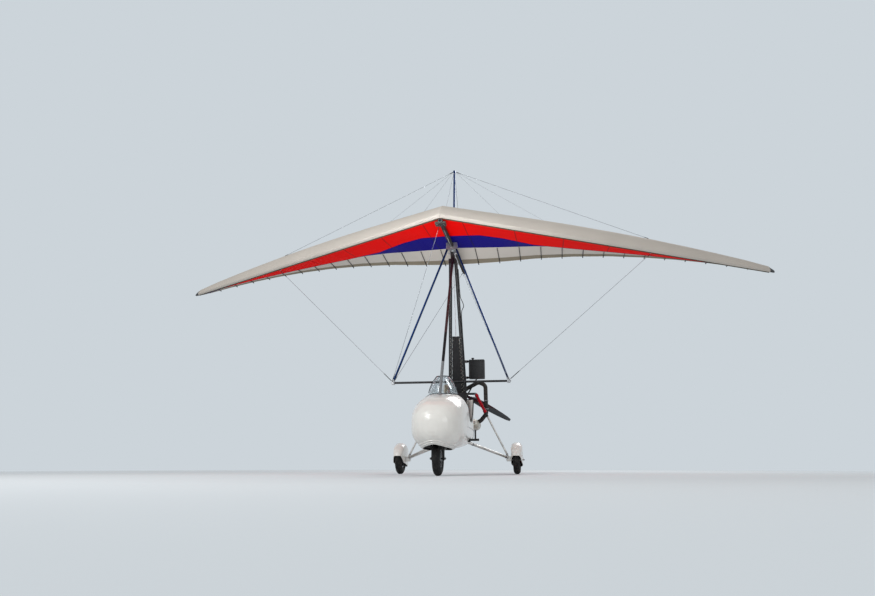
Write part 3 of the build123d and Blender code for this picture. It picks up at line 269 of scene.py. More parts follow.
def cast_alloy(name, colour, roughness=0.55):
    """Sand-cast aluminium: grainy grey skin, oily in its hollows."""
    alloy = Finish(name, colour, roughness, Metallic=0.7)
    oil = alloy.patches(0.045, 5.0, 0.42, 0.68, roughness=0.65)
    alloy.paint((oil, shade(colour, 0.45)), under=shade(colour, 1.35))
    alloy.relief(alloy.lumps(0.0025, 3.0), 0.0005, 0.6)
    alloy.roughen(oil, roughness + 0.1, roughness - 0.2)
    return alloy.material


def cured_rubber(name, colour):
    """Vulcanised tyre rubber: near black, dusted grey on its shoulders."""
    rubber = Finish(name, colour, 0.78, Specular_IOR_Level=0.3)
    rubber.paint((rubber.patches(0.04, 5.0, 0.45, 0.75, 0.6, 0.7), linear("4A4742")))
    rubber.relief(rubber.lumps(0.004, 3.0), 0.0004, 0.6)
    return rubber.material


def coated_fabric(name, colour, thread=0.003):
    """Vinyl-coated nylon: soft black with a pebbled weave and greyed high spots."""
    fabric = Finish(name, colour, 0.65, Sheen_Weight=0.15, Sheen_Roughness=0.5, Specular_IOR_Level=0.3)
    first, second, third = (fabric.threads(axis, thread) for axis in "XYZ")
    both = fabric.add("ShaderNodeMath", {0: first, 1: second}, operation="ADD")
    weave = fabric.add("ShaderNodeMath", {0: both, 1: third}, operation="MULTIPLY")
    fabric.relief(weave, 0.0003, 0.5)
    fabric.paint((fabric.patches(0.06, 4.0, 0.45, 0.8, 0.5), shade(colour, 2.6)))
    return fabric.material


def blown_acrylic(name, colour):
    """Blown acrylic sheet: clear with a faint grey tint and fine wiping haze."""
    clear = Finish(name, colour, 0.04, Transmission_Weight=1.0, IOR=1.49, Alpha=0.55)
    clear.roughen(clear.patches(0.05, 5.0, 0.5, 0.8, roughness=0.7), 0.03, 0.16)
    return clear.material


def moulded_polymer(name, colour, roughness=0.45):
    """Injection or rotation moulded plastic: even colour, slight ripple, a matt grain."""
    plastic = Finish(name, colour, roughness)
    plastic.paint((plastic.patches(0.07, 4.0, 0.4, 0.75, 0.5), shade(colour, 0.7)))
    plastic.relief(plastic.lumps(0.002, 2.0), 0.0002, 0.4)
    return plastic.material


def wrapped_pipe(name, colour):
    """Steel pipe in heat wrap: bands of scorched glass tape about 56 mm wide that overlap along it."""
    wrap = Finish(name, colour, 0.85)
    bands = wrap.add("ShaderNodeTexWave", {"Vector": wrap.where, "Scale": 6.5, "Distortion": 0.6},
                     bands_direction="DIAGONAL", wave_profile="SAW")
    weave = wrap.lumps(0.003, 2.0)
    height = wrap.add("ShaderNodeMath", {0: bands, 1: 3.0, 2: weave}, operation="MULTIPLY_ADD")
    wrap.relief(height, 0.0012, 0.9)
    wrap.paint((bands, shade(colour, 2.2)), under=shade(colour, 0.6))
    return wrap.material


def rolled_steel(name, colour):
    """Rolled and aluminised sheet steel: pale, straw-tinted by heat, with faint roll lines."""
    steel = Finish(name, colour, 0.34, Metallic=0.75)
    steel.paint((steel.patches(0.11, 3.0, 0.4, 0.7, 0.6), linear("9C8F78")))
    steel.relief(steel.lumps(1.0, 3.0, stretch=(60, 8, 60)), 0.0002, 0.4)
    return steel.material


def laminated_blade(name, colour):
    """Lacquered composite blade: dark gloss with lengthwise fibre."""
    blade = Finish(name, colour, 0.28, Coat_Weight=0.5, Coat_Roughness=0.1)
    blade.paint((blade.patches(1.0, 3.0, 0.4, 0.7, stretch=(20, 300, 20)), shade(colour, 1.9)))
    return blade.material


def sleeved_strut(name, upper, sleeve, lower, sleeve_end, sleeve_top):
    """Drawn aluminium strut with a foam sleeve: dark purple-brown above the sleeve, its own tint darkened as
    painted shade, black on it and bare below it.
    """
    strut = Finish(name, upper, 0.45, Metallic=0.5)
    height = strut.add("ShaderNodeSeparateXYZ", {0: strut.where}, "Z")
    over_end, over_top = (strut.add("ShaderNodeMapRange", {0: height, 1: z - 0.002, 2: z + 0.002})
                          for z in (sleeve_end, sleeve_top))
    # Above the sleeve the strut takes the upper colour: its purple-brown tint, darkened as painted shade
    strut.paint((over_end, sleeve), (over_top, upper), under=lower)
    strut.relief(strut.lumps(0.01, 3.0), 0.0002, 0.4)
    return strut.material


# Meshes

def new_object(name, points, faces, material, smooth=True):
    mesh = bpy.data.meshes.new(name)
    mesh.from_pydata(np.asarray(points).tolist(), [], [list(f) for f in faces])
    mesh.update()
    mesh.polygons.foreach_set("use_smooth", np.full(len(mesh.polygons), smooth))
    made = bpy.data.objects.new(name, mesh)
    bpy.context.scene.collection.objects.link(made)
    made.data.materials.append(material)
    return made


def piece(name, body, parts, material, smooth=True):
    """One object on one body from several (points, faces) pairs."""
    points, faces, count = [], [], 0
    for some, theirs in parts:
        points.append(some)
        faces.extend([[k + count for k in face] for face in theirs])
        count += len(some)
    made = new_object(name, np.vstack(points), faces, material, smooth)
    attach(made, body)
    return made


def finish_with(made_piece, kind, **settings):
    """Adds a modifier with its settings and applies it to the mesh."""
    modifier = made_piece.modifiers.new(kind.lower(), kind)
    for key, value in settings.items():
        setattr(modifier, key, value)
    bpy.context.view_layer.update()
    graph = bpy.context.evaluated_depsgraph_get()
    made = bpy.data.meshes.new_from_object(made_piece.evaluated_get(graph), depsgraph=graph)
    made_piece.modifiers.clear()
    made_piece.data = made


def smooth_path(points, count):
    """Catmull-Rom line through the points: count places on each run, each the usual cubic blend of the
    run's two ends and their neighbours, with the first and last runs carried on straight by one point."""
    p = np.asarray(points, float)
    p = np.vstack([2 * p[0] - p[1], p, 2 * p[-1] - p[-2]])
    t = (np.arange(count) / count)[None, :, None]
    a, b, c, d = (p[k:len(p) - 3 + k][:, None, :] for k in range(4))
    square, cube = 2 * a - 5 * b + 4 * c - d, 3 * b - a - 3 * c + d
    made = 0.5 * (2 * b + (c - a) * t + square * t ** 2 + cube * t ** 3)
    return np.vstack([made.reshape(-1, p.shape[1]), p[-2]])


def rings(path, radius, across, other, sides):
    """Ring point = path + radius (cos a across + sin a other) at even angles a, with quads from ring to ring
    and one face on each end. Radius, across and other hold one row for each path point, or one for all."""
    a = 2 * np.pi * np.arange(sides) / sides
    turn = np.cos(a)[:, None] * across[:, None] + np.sin(a)[:, None] * other[:, None]
    points = path[:, None] + np.reshape(radius, (-1, 1, 1)) * turn
    faces = grid_faces(len(path), sides, close_columns=True)[:, ::-1].tolist()
    end = (len(path) - 1) * sides
    return points.reshape(-1, 3), faces + [list(range(sides)), list(range(end + sides - 1, end - 1, -1))]


def tube(path, radius, sides=10, up=(0.13, 0.31, 1.0)):
    """Round tube on a path, with its rings square to the path's direction; the radius is one number or one
    for each path point."""
    path = np.asarray(path, float)
    way = np.gradient(path, axis=0)
    way /= np.linalg.norm(way, axis=1)[:, None]
    across = np.cross(way, np.asarray(up, float))
    across /= np.linalg.norm(across, axis=1)[:, None]
    return rings(path, radius, across, np.cross(way, across), sides)


def lathe(origin, axis, marks, sides=16):
    """Turned form: each mark is a place along the axis and a radius, and its ring is a circle there."""
    axis = np.asarray(axis, float) / np.linalg.norm(axis)
    place, radius = np.array(marks, float).T
    across = np.cross(axis, (0.0, 0.0, 1.0) if abs(axis[2]) < 0.9 else (1.0, 0.0, 0.0))
    across /= np.linalg.norm(across)
    path = np.asarray(origin, float) + place[:, None] * axis
    return rings(path, radius, across[None], np.cross(axis, across)[None], sides)


def band(start, axis, inner, outer, width, sides=16):
    """Flat ring round an axis, from its inner to its outer radius and as long as its width."""
    return lathe(start, axis, ((0, inner), (0, outer), (width, outer), (width, inner)), sides)


def bolt(origin, axis, r):
    """Hexagon head on a washer: six-sided turned form with a chamfer."""
    washer = lathe(origin, axis, ((0.0, 1.5 * r), (0.25 * r, 1.5 * r)), 14)
    head = lathe(origin, axis, ((0.2 * r, r), (1.0 * r, r), (1.15 * r, 0.86 * r)), 6)
    return [washer, head]


def bolt_circle(centre, axis, radius, r):
    """Six bolts round an axis that lies along X or Y, at 30, 90 ... 330 degrees from the level."""
    level, parts = np.abs((axis[1], axis[0], 0)), []
    for turn in np.radians(np.arange(6) * 60 + 30):
        parts += bolt(centre + radius * (math.cos(turn) * level + (0, 0, math.sin(turn))), axis, r)
    return parts


# The wing's skins, from the same sections as the solids

# Share of the half span, chord, twist in degrees, crest, seam share, seam height, lap share; millimetres
SHARE, CHORD, TWIST, CREST, SEAM, SEAM_HEIGHT, LAP = np.transpose([
    (0.00003, 2230.0, 3.6, 300.0, 0.370, 8.0, 0.755),
    (0.085, 2110.0, 5.2, 298.0, 0.345, 42.0, 0.750),
    (0.150, 2000.0, 6.6, 295.0, 0.370, 38.0, 0.748),
    (0.240, 1850.0, 9.0, 288.0, 0.440, 0.0, 0.745),
    (0.360, 1655.0, 12.0, 271.0, 0.475, -8.0, 0.748),
    (0.480, 1455.0, 14.8, 248.0, 0.500, -8.0, 0.760),
    (0.590, 1265.0, 17.0, 224.0, 0.495, -7.0, 0.775),
    (0.700, 1066.0, 19.0, 193.0, 0.460, -5.0, 0.792),
    (0.800, 870.0, 20.5, 162.0, 0.390, -3.0, 0.818),
    (0.900, 640.0, 21.6, 128.0, 0.240, 0.0, 0.860),
    (0.985, 440.0, 22.0, 88.0, 0.090, 0.0, 0.930),
])
# Shares of the chord where the upper skin runs straight from and where the rear band starts, and the skin's
# height there as a share of the crest
BACK, BAND = 0.62, 0.935
BACK_HEIGHT, BAND_HEIGHT = 0.54, 0.11
# Thickness of a skin, and how far the lower skin's lap lies under the upper one
SKIN, LAP_GAP = 0.003, 0.00335
HALF_SPAN = 4.9
NOSE_Y, SWEEP, LIP_Z = -1.253, 2.884, 0.042
TRIM = math.radians(4.0)
KEEL_Z, KEEL_SLOPE, KEEL_R = 0.087, 0.0644, 0.030
BATTEN_SHARES = 0.055 + 0.068 * np.arange(14)
BATTEN_R, BATTEN_DROP = 0.006, 0.0095
STAY_SHARE = 0.59
# In the wing's own axes: the stays' eye on top of the kingpost, and the basebar's end
KINGPOST_EYE = np.array([0.0, 0.120, KEEL_Z + 1.300])
BAR_END = np.array([0.804, -0.190, -1.935])


def in_frame(points):
    """From the wing's own axes to the shared frame: turned nose up by the trim about the hang bolt."""
    p = np.asarray(points, float)
    y = p[..., 1] * math.cos(TRIM) + p[..., 2] * math.sin(TRIM)
    z = p[..., 2] * math.cos(TRIM) - p[..., 1] * math.sin(TRIM)
    return np.stack([p[..., 0], y, z], -1) + BOLT


def wing_marks():
    """Place along the chord and height above it of each key line, one value for each section, in metres."""
    c, top = CHORD * MM, CREST * MM
    nose = np.minimum(0.040, 0.4 * top)
    lip = nose + 0.011
    t = (LAP - BACK) / (BAND - BACK)
    rear_height = (BACK_HEIGHT * top - SKIN) * (1 - t) + BAND_HEIGHT * top * t - LAP_GAP
    return {
        "nose": (0 * c, nose), "lip": (lip - 0.001, 0 * c), "front": (lip, 0 * c),
        "seam": (np.maximum(SEAM * c, lip + 0.025), SEAM_HEIGHT * MM), "lap": (LAP * c, rear_height),
        "crest": (0.25 * c, top), "back": (BACK * c, BACK_HEIGHT * top),
        "band": (BAND * c, BAND_HEIGHT * top + SKIN), "tail": (c, 0 * c + SKIN),
    }


def wing_line(mark, shares, side, drop=0.0):
    """Points of a key line at shares of the half span, straight from section to section as the solids are."""
    s, h = wing_marks()[mark]
    h = h - drop
    turn = np.radians(TWIST)
    y = NOSE_Y + SWEEP * SHARE + s * np.cos(turn) - h * np.sin(turn)
    z = LIP_Z + s * np.sin(turn) + h * np.cos(turn)
    shares = np.asarray(shares, float)
    place = [np.interp(shares, SHARE, v) for v in (y, z)]
    return in_frame(np.stack([side * shares * HALF_SPAN, *place], -1))


def keel_at(y, x=0.0, up=0.0):
    """A point beside and above the keel's middle line, in the shared frame."""
    return in_frame((x, y, KEEL_Z + KEEL_SLOPE * y + up))


def grid_faces(rows, columns, close_rows=False, close_columns=False):
    """Quads of a rows x columns grid: point (i, j) has index i * columns + j."""
    i = np.arange(rows if close_rows else rows - 1)
    j = np.arange(columns if close_columns else columns - 1)
    i, j = (a.ravel() for a in np.meshgrid(i, j, indexing="ij"))
    down, over = (i + 1) % rows, (j + 1) % columns
    return np.stack([i * columns + j, down * columns + j, down * columns + over, i * columns + over], 1)


def dress(names, material):
    for name in names:
        target = NODES[name]
        target.data.materials.clear()
        target.data.materials.append(material)
        target.data.polygons.foreach_set("material_index", np.zeros(len(target.data.polygons), np.int32))


# Operators

class MICROLIGHT_OT_finishes(bpy.types.Operator):
    """Gives each piece of the solids its finish, and makes the shells and battens that stand for theirs"""
    bl_idname = "microlight.finishes"
    bl_label = "Finishes"

    def execute(self, context):
        cloth = context.scene.microlight_cloth
        shell = context.scene.microlight_shell
        red = woven_polyester("woven polyester, red", cloth.red, cloth.thread, 0.05, 0.03)
        navy = woven_polyester("woven polyester, navy", cloth.blue, cloth.thread, 0.05, 0.03)
        band_cloth = woven_polyester("laminated polyester, beige", cloth.band, cloth.thread)
        brown = woven_polyester("woven polyester, brown", linear("4A3F38"), cloth.thread)
        white = woven_polyester("woven polyester, white", cloth.white, cloth.thread)
        for names, material in ((("sail_left", "sail_right"), white), (("trailing_bands",), band_cloth),
                                (("red_panels",), red), (("blue_panels",), navy), (("keel_pocket",), brown)):
            dress(names, material)
        dress(("kingpost", "uprights"), anodised_tube("anodised aluminium, blue", linear("0A2E60")))
        dress(("keel",), anodised_tube("anodised aluminium, bronze", linear("241C18"), 0.5))
        dress(("shock_units",), anodised_tube("anodised aluminium, red", linear("A01420")))
        dress(("mast", "step_bar", "basebar", "nose_fork"),
              powder_coat("powder-coated tube, black", linear("0E0F11")))
        dress(("chassis", "strut_foot", "seat_base"),
              powder_coat("powder-coated steel, grey", linear("3B3C3E")))
        dress(("radiator",), powder_coat("painted radiator, black", linear("1A1B1D"), 0.5))
        # The upper colour is the strut's purple-brown tint, darkened as painted shade where its top falls in
        # shade
        dress(("front_strut",), sleeved_strut("sleeved aluminium strut", linear("3A2628"), linear("0D0D10"),
                                              linear("7C7E80"), 1.42, 1.84))
        dress(("frame_fittings", "hang_block"), bare_aluminium("machined aluminium", linear("B9BABC")))
        dress(("nose_cover",), bare_aluminium("machined aluminium, dull", linear("56534F"), 0.5))
        dress(("gear_legs",), bare_aluminium("drawn aluminium tube", linear("D6D3CE")))
        dress(("stays",), drawn_wire("stranded stainless wire", linear("8A8D92")))
        dress(("dash_panel", "end_caps"), moulded_polymer("moulded nylon, black", linear("131315")))
        dress(("fuel_tank",),
              moulded_polymer("rotation-moulded polythene, dark red", linear("5A1812"), 0.35))
        dress(("air_box",), moulded_polymer("moulded polythene, beige", linear("B9A684")))
        dress(("windscreen",), blown_acrylic("blown acrylic", linear("C9D6DC")))
        dress(("front_seat", "rear_seat", "back_panel"), coated_fabric("coated nylon, black", shell.seat))
        dress(("engine_block", "cylinders"), cast_alloy("cast alloy, dark", linear("2B2B2D")))
        dress(("nose_rim", "left_rim", "right_rim"), cast_alloy("cast alloy, bright", linear("9A9B9D"), 0.4))
        dress(("exhaust_pipe",), wrapped_pipe("heat-wrapped steel pipe", linear("262422")))
        dress(("muffler",), rolled_steel("aluminised steel", linear("C9C6BE")))
        dress(("nose_tyre", "left_tyre", "right_tyre"), cured_rubber("vulcanised rubber", linear("161617")))
        dress(("propeller",), laminated_blade("laminated composite, black", linear("141417")))
        self.battens(anodised_tube("anodised aluminium, black", linear("26262A"), 0.4))
        for name, made in (("nacelle", "pod_shell"), ("spat_left", "fairing_left"),
                           ("spat_right", "fairing_right")):
            self.shell(name, made, shell)
        self.sheets()
        return {"FINISHED"}

    def shell(self, name, made_name, settings):
        """The moulding's own surface with its split corners joined, so that light runs evenly over every edge
        of less than 30 degrees, as it does over a real moulding."""
        low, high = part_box(name)
        gelcoat = moulded_gelcoat("moulded gelcoat, " + name.replace("_", " "), settings.gelcoat,
                                  settings.inner, tuple((low + high) / 2), tuple((high - low) / 2))
        mesh = NODES[name].data
        co = np.empty(len(mesh.vertices) * 3, np.float32)
        corners = np.empty(len(mesh.loops), np.int32)
        mesh.vertices.foreach_get("co", co)
        mesh.loops.foreach_get("vertex_index", corners)
        co = co.reshape(-1, 3)
        grid = np.round(co / 0.00002).astype(np.int64)
        first, back = np.unique(grid, axis=0, return_index=True, return_inverse=True)[1:]
        faces = back.reshape(-1)[corners].reshape(-1, 3)
        whole = (faces != np.roll(faces, 1, axis=1)).all(axis=1)
        made = piece(made_name, "trike", [(co[first], faces[whole].tolist())], gelcoat)
        made.data.set_sharp_from_angle(angle=math.radians(30))
        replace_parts(made, name)

    def battens(self, material):
        """Straight tubes under the upper skin, fourteen a half: each runs from just behind the edge of the
        rear lower panel, bends at the rear band's seam and ends 24 mm past the rear edge."""
        past_lap, proud = 0.012, 0.024
        start = ((np.interp(BATTEN_SHARES, SHARE, LAP) + past_lap - BACK) / (BAND - BACK))[:, None]
        parts = []
        for side in (-1, 1):
            back, knee, tail = (wing_line(mark, BATTEN_SHARES, side, BATTEN_DROP)
                                for mark in ("back", "band", "tail"))
            way = (tail - knee) / np.linalg.norm(tail - knee, axis=1)[:, None]
            for path in np.stack([back + (knee - back) * start, knee, tail + way * proud], 1):
                parts.append(tube(path, BATTEN_R, 12))
        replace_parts(piece("batten_set", "wing", parts, material), "battens")

    def sheets(self):
        """Takes no step: the wing's cloths are not declared here."""


def made_of(name):
    """A finish that the finishes operator has already made."""
    return bpy.data.materials[name]


class MICROLIGHT_OT_sail_trim(bpy.types.Operator):
    """Sewn tapes, a dark olive tube under each leading edge as painted shade, batten pockets and tips, and
    the bridle lines
    """
    bl_idname = "microlight.sail_trim"
    bl_label = "Sail trim"

    def execute(self, context):
        cloth = context.scene.microlight_cloth
        dark_red = woven_polyester("polyester tape, dark red", shade(cloth.red, 0.5), 0.002)
        dark_blue = woven_polyester("polyester tape, dark navy", shade(cloth.blue, 0.4), 0.002)
        # Dark olive for a tube under each leading edge's lip: painted shade where the rolled edge's underside
        # falls in shade
        olive = woven_polyester("polyester welt, olive grey", linear("4E4A3C"), 0.002)
        white = made_of("woven polyester, white")
        for name, material, ends in (("front_tapes", dark_red, ("front", "seam")),
                                     ("rear_tapes", dark_blue, ("seam", "lap"))):
            piece(name, "wing", [self.tape(share, side, ends, cloth.tape)
                                 for side in (-1, 1) for share in BATTEN_SHARES[::2]], material, False)
        along = np.linspace(0.004, 0.982, 120)
        # Piece, key line, drop below it, radius, sides and finish
        cords = (
            # The first cord is painted shade: a dark olive tube along the underside of the leading edge's lip
            ("leading_edge_welts", "lip", 0.005, 0.0085, 10, olive),
            ("panel_seam", "seam", 0.0012, 0.0022, 6, dark_blue),
            ("trailing_cords", "tail", 0.0015, 0.0026, 8, white),
        )
        for name, mark, drop, radius, sides, material in cords:
            piece(name, "wing", [tube(wing_line(mark, along, side, drop), radius, sides)
                                 for side in (-1, 1)], material)
        for side, name in ((1, "left"), (-1, "right")):
            self.pockets(name, side, white)
        self.tips()
        self.bridles()
        return {"FINISHED"}

    def tape(self, share, side, ends, width):
        """Flat strip from 0.4 to 1.2 mm under the panel: the two key lines taken half the width each side of
        the rib."""
        shares = share + np.array([-0.5, 0.5]) * width / HALF_SPAN
        lines = [wing_line(mark, shares, side, drop) for drop in (0.0012, 0.0004) for mark in ends]
        points = np.vstack(lines)
        faces = [[0, 1, 3, 2], [4, 6, 7, 5], [0, 2, 6, 4], [1, 5, 7, 3], [0, 4, 5, 1], [2, 3, 7, 6]]
        return points, faces if side > 0 else [f[::-1] for f in faces]

    def pockets(self, name, side, material):
        """Flat strips over each batten, dropped straight down on the upper skin and given a thickness."""
        rows, half_width, from_nose, from_band, above = 48, 0.016, 0.26, 0.01, 4.0
        parts = []
        for share in BATTEN_SHARES:
            front, rear = (wing_line(mark, [share], side)[0][1] for mark in ("nose", "band"))
            y = np.linspace(front + from_nose, rear - from_band, rows)
            x = side * share * HALF_SPAN + np.array([-half_width, half_width])
            grid = np.stack(np.meshgrid(y, x, indexing="ij"), -1).reshape(-1, 2)
            points = np.column_stack([grid[:, 1], grid[:, 0], np.full(len(grid), above)])
            parts.append((points, grid_faces(rows, 2).tolist()))
        strips = piece("batten_pockets_" + name, "wing", parts, material)
        finish_with(strips, "SHRINKWRAP", target=NODES["sail_" + name], wrap_method="PROJECT",
                    use_project_z=True, use_negative_direction=True, use_positive_direction=False,
                    offset=0.0006)
        finish_with(strips, "SOLIDIFY", thickness=0.0016, offset=0.0)

    def tips(self):
        """Turned nylon plug on each batten's end, with a loop of cord back over the rear edge."""
        nylon = moulded_polymer("moulded nylon, batten tips", linear("101012"))
        parts, cords = [], []
        for side in (-1, 1):
            knee, tail = (wing_line(mark, BATTEN_SHARES, side, BATTEN_DROP) for mark in ("band", "tail"))
            way = (tail - knee) / np.linalg.norm(tail - knee, axis=1)[:, None]
            for end, axis in zip(tail + way * 0.012, way):
                parts.append(lathe(end, axis, ((0, 0.007), (0.002, 0.0085), (0.014, 0.0085), (0.018, 0.005))))
                over = np.array([end + axis * 0.008, end + axis * 0.012 + (0, 0, 0.012),
                                 end - axis * 0.012 + (0, 0, 0.013), end - axis * 0.035 + (0, 0, 0.0105)])
                cords.append(tube(smooth_path(over, 6), 0.0016, 6))
        piece("batten_plugs", "wing", parts, nylon)
        piece("batten_loops", "wing", cords, made_of("woven polyester, white"))

    def bridles(self):
        """Thin lines from the kingpost's head down to the upper skin near the rear edge."""
        head, held = in_frame(KINGPOST_EYE), BATTEN_SHARES[[3, 6]]
        eye = ((0, 0.012), (0.003, 0.012), (0.006, 0.006))
        parts, eyes = [], []
        for side in (-1, 1):
            for low in wing_line("band", held, side, -0.004):
                start = head + (side * 0.014, 0, 0.004)
                parts.append(tube(np.linspace(start, low, 3), 0.0014, 6))
                eyes.append(lathe(low - (0, 0, 0.003), (0, 0, 1), eye))
        piece("bridle_lines", "wing", parts, made_of("stranded stainless wire"))
        piece("bridle_eyes", "wing", eyes, made_of("machined aluminium"))


class MICROLIGHT_OT_rigging(bpy.types.Operator):
    """Sleeves and ferrules of the stays, bolts of the control frame and hang block, and the keel's plug"""
    bl_idname = "microlight.rigging"
    bl_label = "Rigging fittings"

    def execute(self, context):
        sleeve = moulded_polymer("heat-shrunk sleeve, black", linear("121214"), 0.5)
        steel = cast_alloy("pressed steel fittings", linear("8E9093"), 0.35)
        lip = wing_line("front", [STAY_SHARE], 1)[0]
        nose, tail = keel_at(NOSE_Y + 0.110, 0.014, -0.045), keel_at(1.215, 0.004, -0.033)
        crest = wing_line("crest", [STAY_SHARE], 1, -0.003)[0]
        # Both ends of each port stay, and the length of the sleeve on its lower end
        wires = (
            (in_frame(BAR_END + (0.010, 0, 0.018)), lip + (-0.018, 0.033, -0.011), 0.17),
            (in_frame(BAR_END + (0, -0.031, 0)), nose, 0.10),
            (in_frame(BAR_END + (0, 0.031, 0)), tail, 0.10),
            (in_frame(KINGPOST_EYE + (0.0182, 0, 0)), crest, 0.06),
        )
        ferrule = ((0, 0.0036), (0.003, 0.0050), (0.018, 0.0050), (0.021, 0.0036))
        sleeves, ferrules, bolts = [], [], []
        for side in (-1, 1):
            for start, end, length in wires:
                start, end = start * (side, 1, 1), end * (side, 1, 1)
                way = (end - start) / np.linalg.norm(end - start)
                sleeves.append(tube(np.linspace(start + way * 0.012, start + way * length, 3), 0.0052, 10))
                sleeves.append(tube(np.linspace(end - way * 0.07, end - way * 0.015, 3), 0.0048, 10))
                ferrules.append(lathe(start + way * (length + 0.004), way, ferrule, 10))
            bar = BAR_END * (side, 1, 1) - (0, 0, 0.006)
            bolts += bolt(in_frame(bar + (side * 0.012, 0, 0)), (side, 0, 0), 0.009)
            for way in (-1, 1):
                bolts += bolt(in_frame(bar + (side * -0.014, way * 0.0279, 0)), (0, way, 0), 0.006)
            bolts += bolt(in_frame((side * 0.078, -0.115, KEEL_Z - 0.02)), (side, 0, 0), 0.008)
        for y in (NOSE_Y + 0.085, NOSE_Y + 0.135):
            for side in (1, -1):
                bolts += bolt(keel_at(y, side * 0.045, -0.040), (0, 0, -1), 0.006)
        piece("wire_sleeves", "wing", sleeves, sleeve)
        piece("wire_ferrules", "wing", ferrules, steel)
        piece("frame_bolts", "wing", bolts, steel, False)
        plug = ((0, 0.020), (0.003, 0.0275), (0.010, 0.0295), (0.0108, 0.0255), (0.030, 0.0255))
        along = keel_at(0.0) - keel_at(-0.1)
        piece("nose_plug", "wing", [lathe(keel_at(NOSE_Y + 0.044), along, plug, 20)],
              moulded_polymer("moulded nylon, grey", linear("6B6C6E")))
        self.hang_bolts(steel)
        return {"FINISHED"}

    def hang_bolts(self, steel):
        """Nut and head on both ends of the hang bolt, and a collar on the keel each side of the sleeve."""
        nuts, collars = [], []
        for side in (-1, 1):
            nuts += bolt(BOLT + (side * 0.0565, 0, 0), (side, 0, 0), 0.0125)
            y = side * 0.066
            along = keel_at(y + 0.01) - keel_at(y)
            collars.append(band(keel_at(y - 0.009), along, KEEL_R + 0.0005, KEEL_R + 0.007, 0.018))
        piece("hang_bolt_nuts", "hang", nuts, steel, False)
        piece("keel_collars", "wing", collars, made_of("moulded nylon, black"))


# The mast's tubes run from its head down to its foot, back and apart by these lengths
MAST_TOP, MAST_DROP, MAST_LEAN = 3.150, 2.650, 0.551
MAST_HALF, MAST_SPREAD, MAST_R = 0.034, 0.096, 0.025


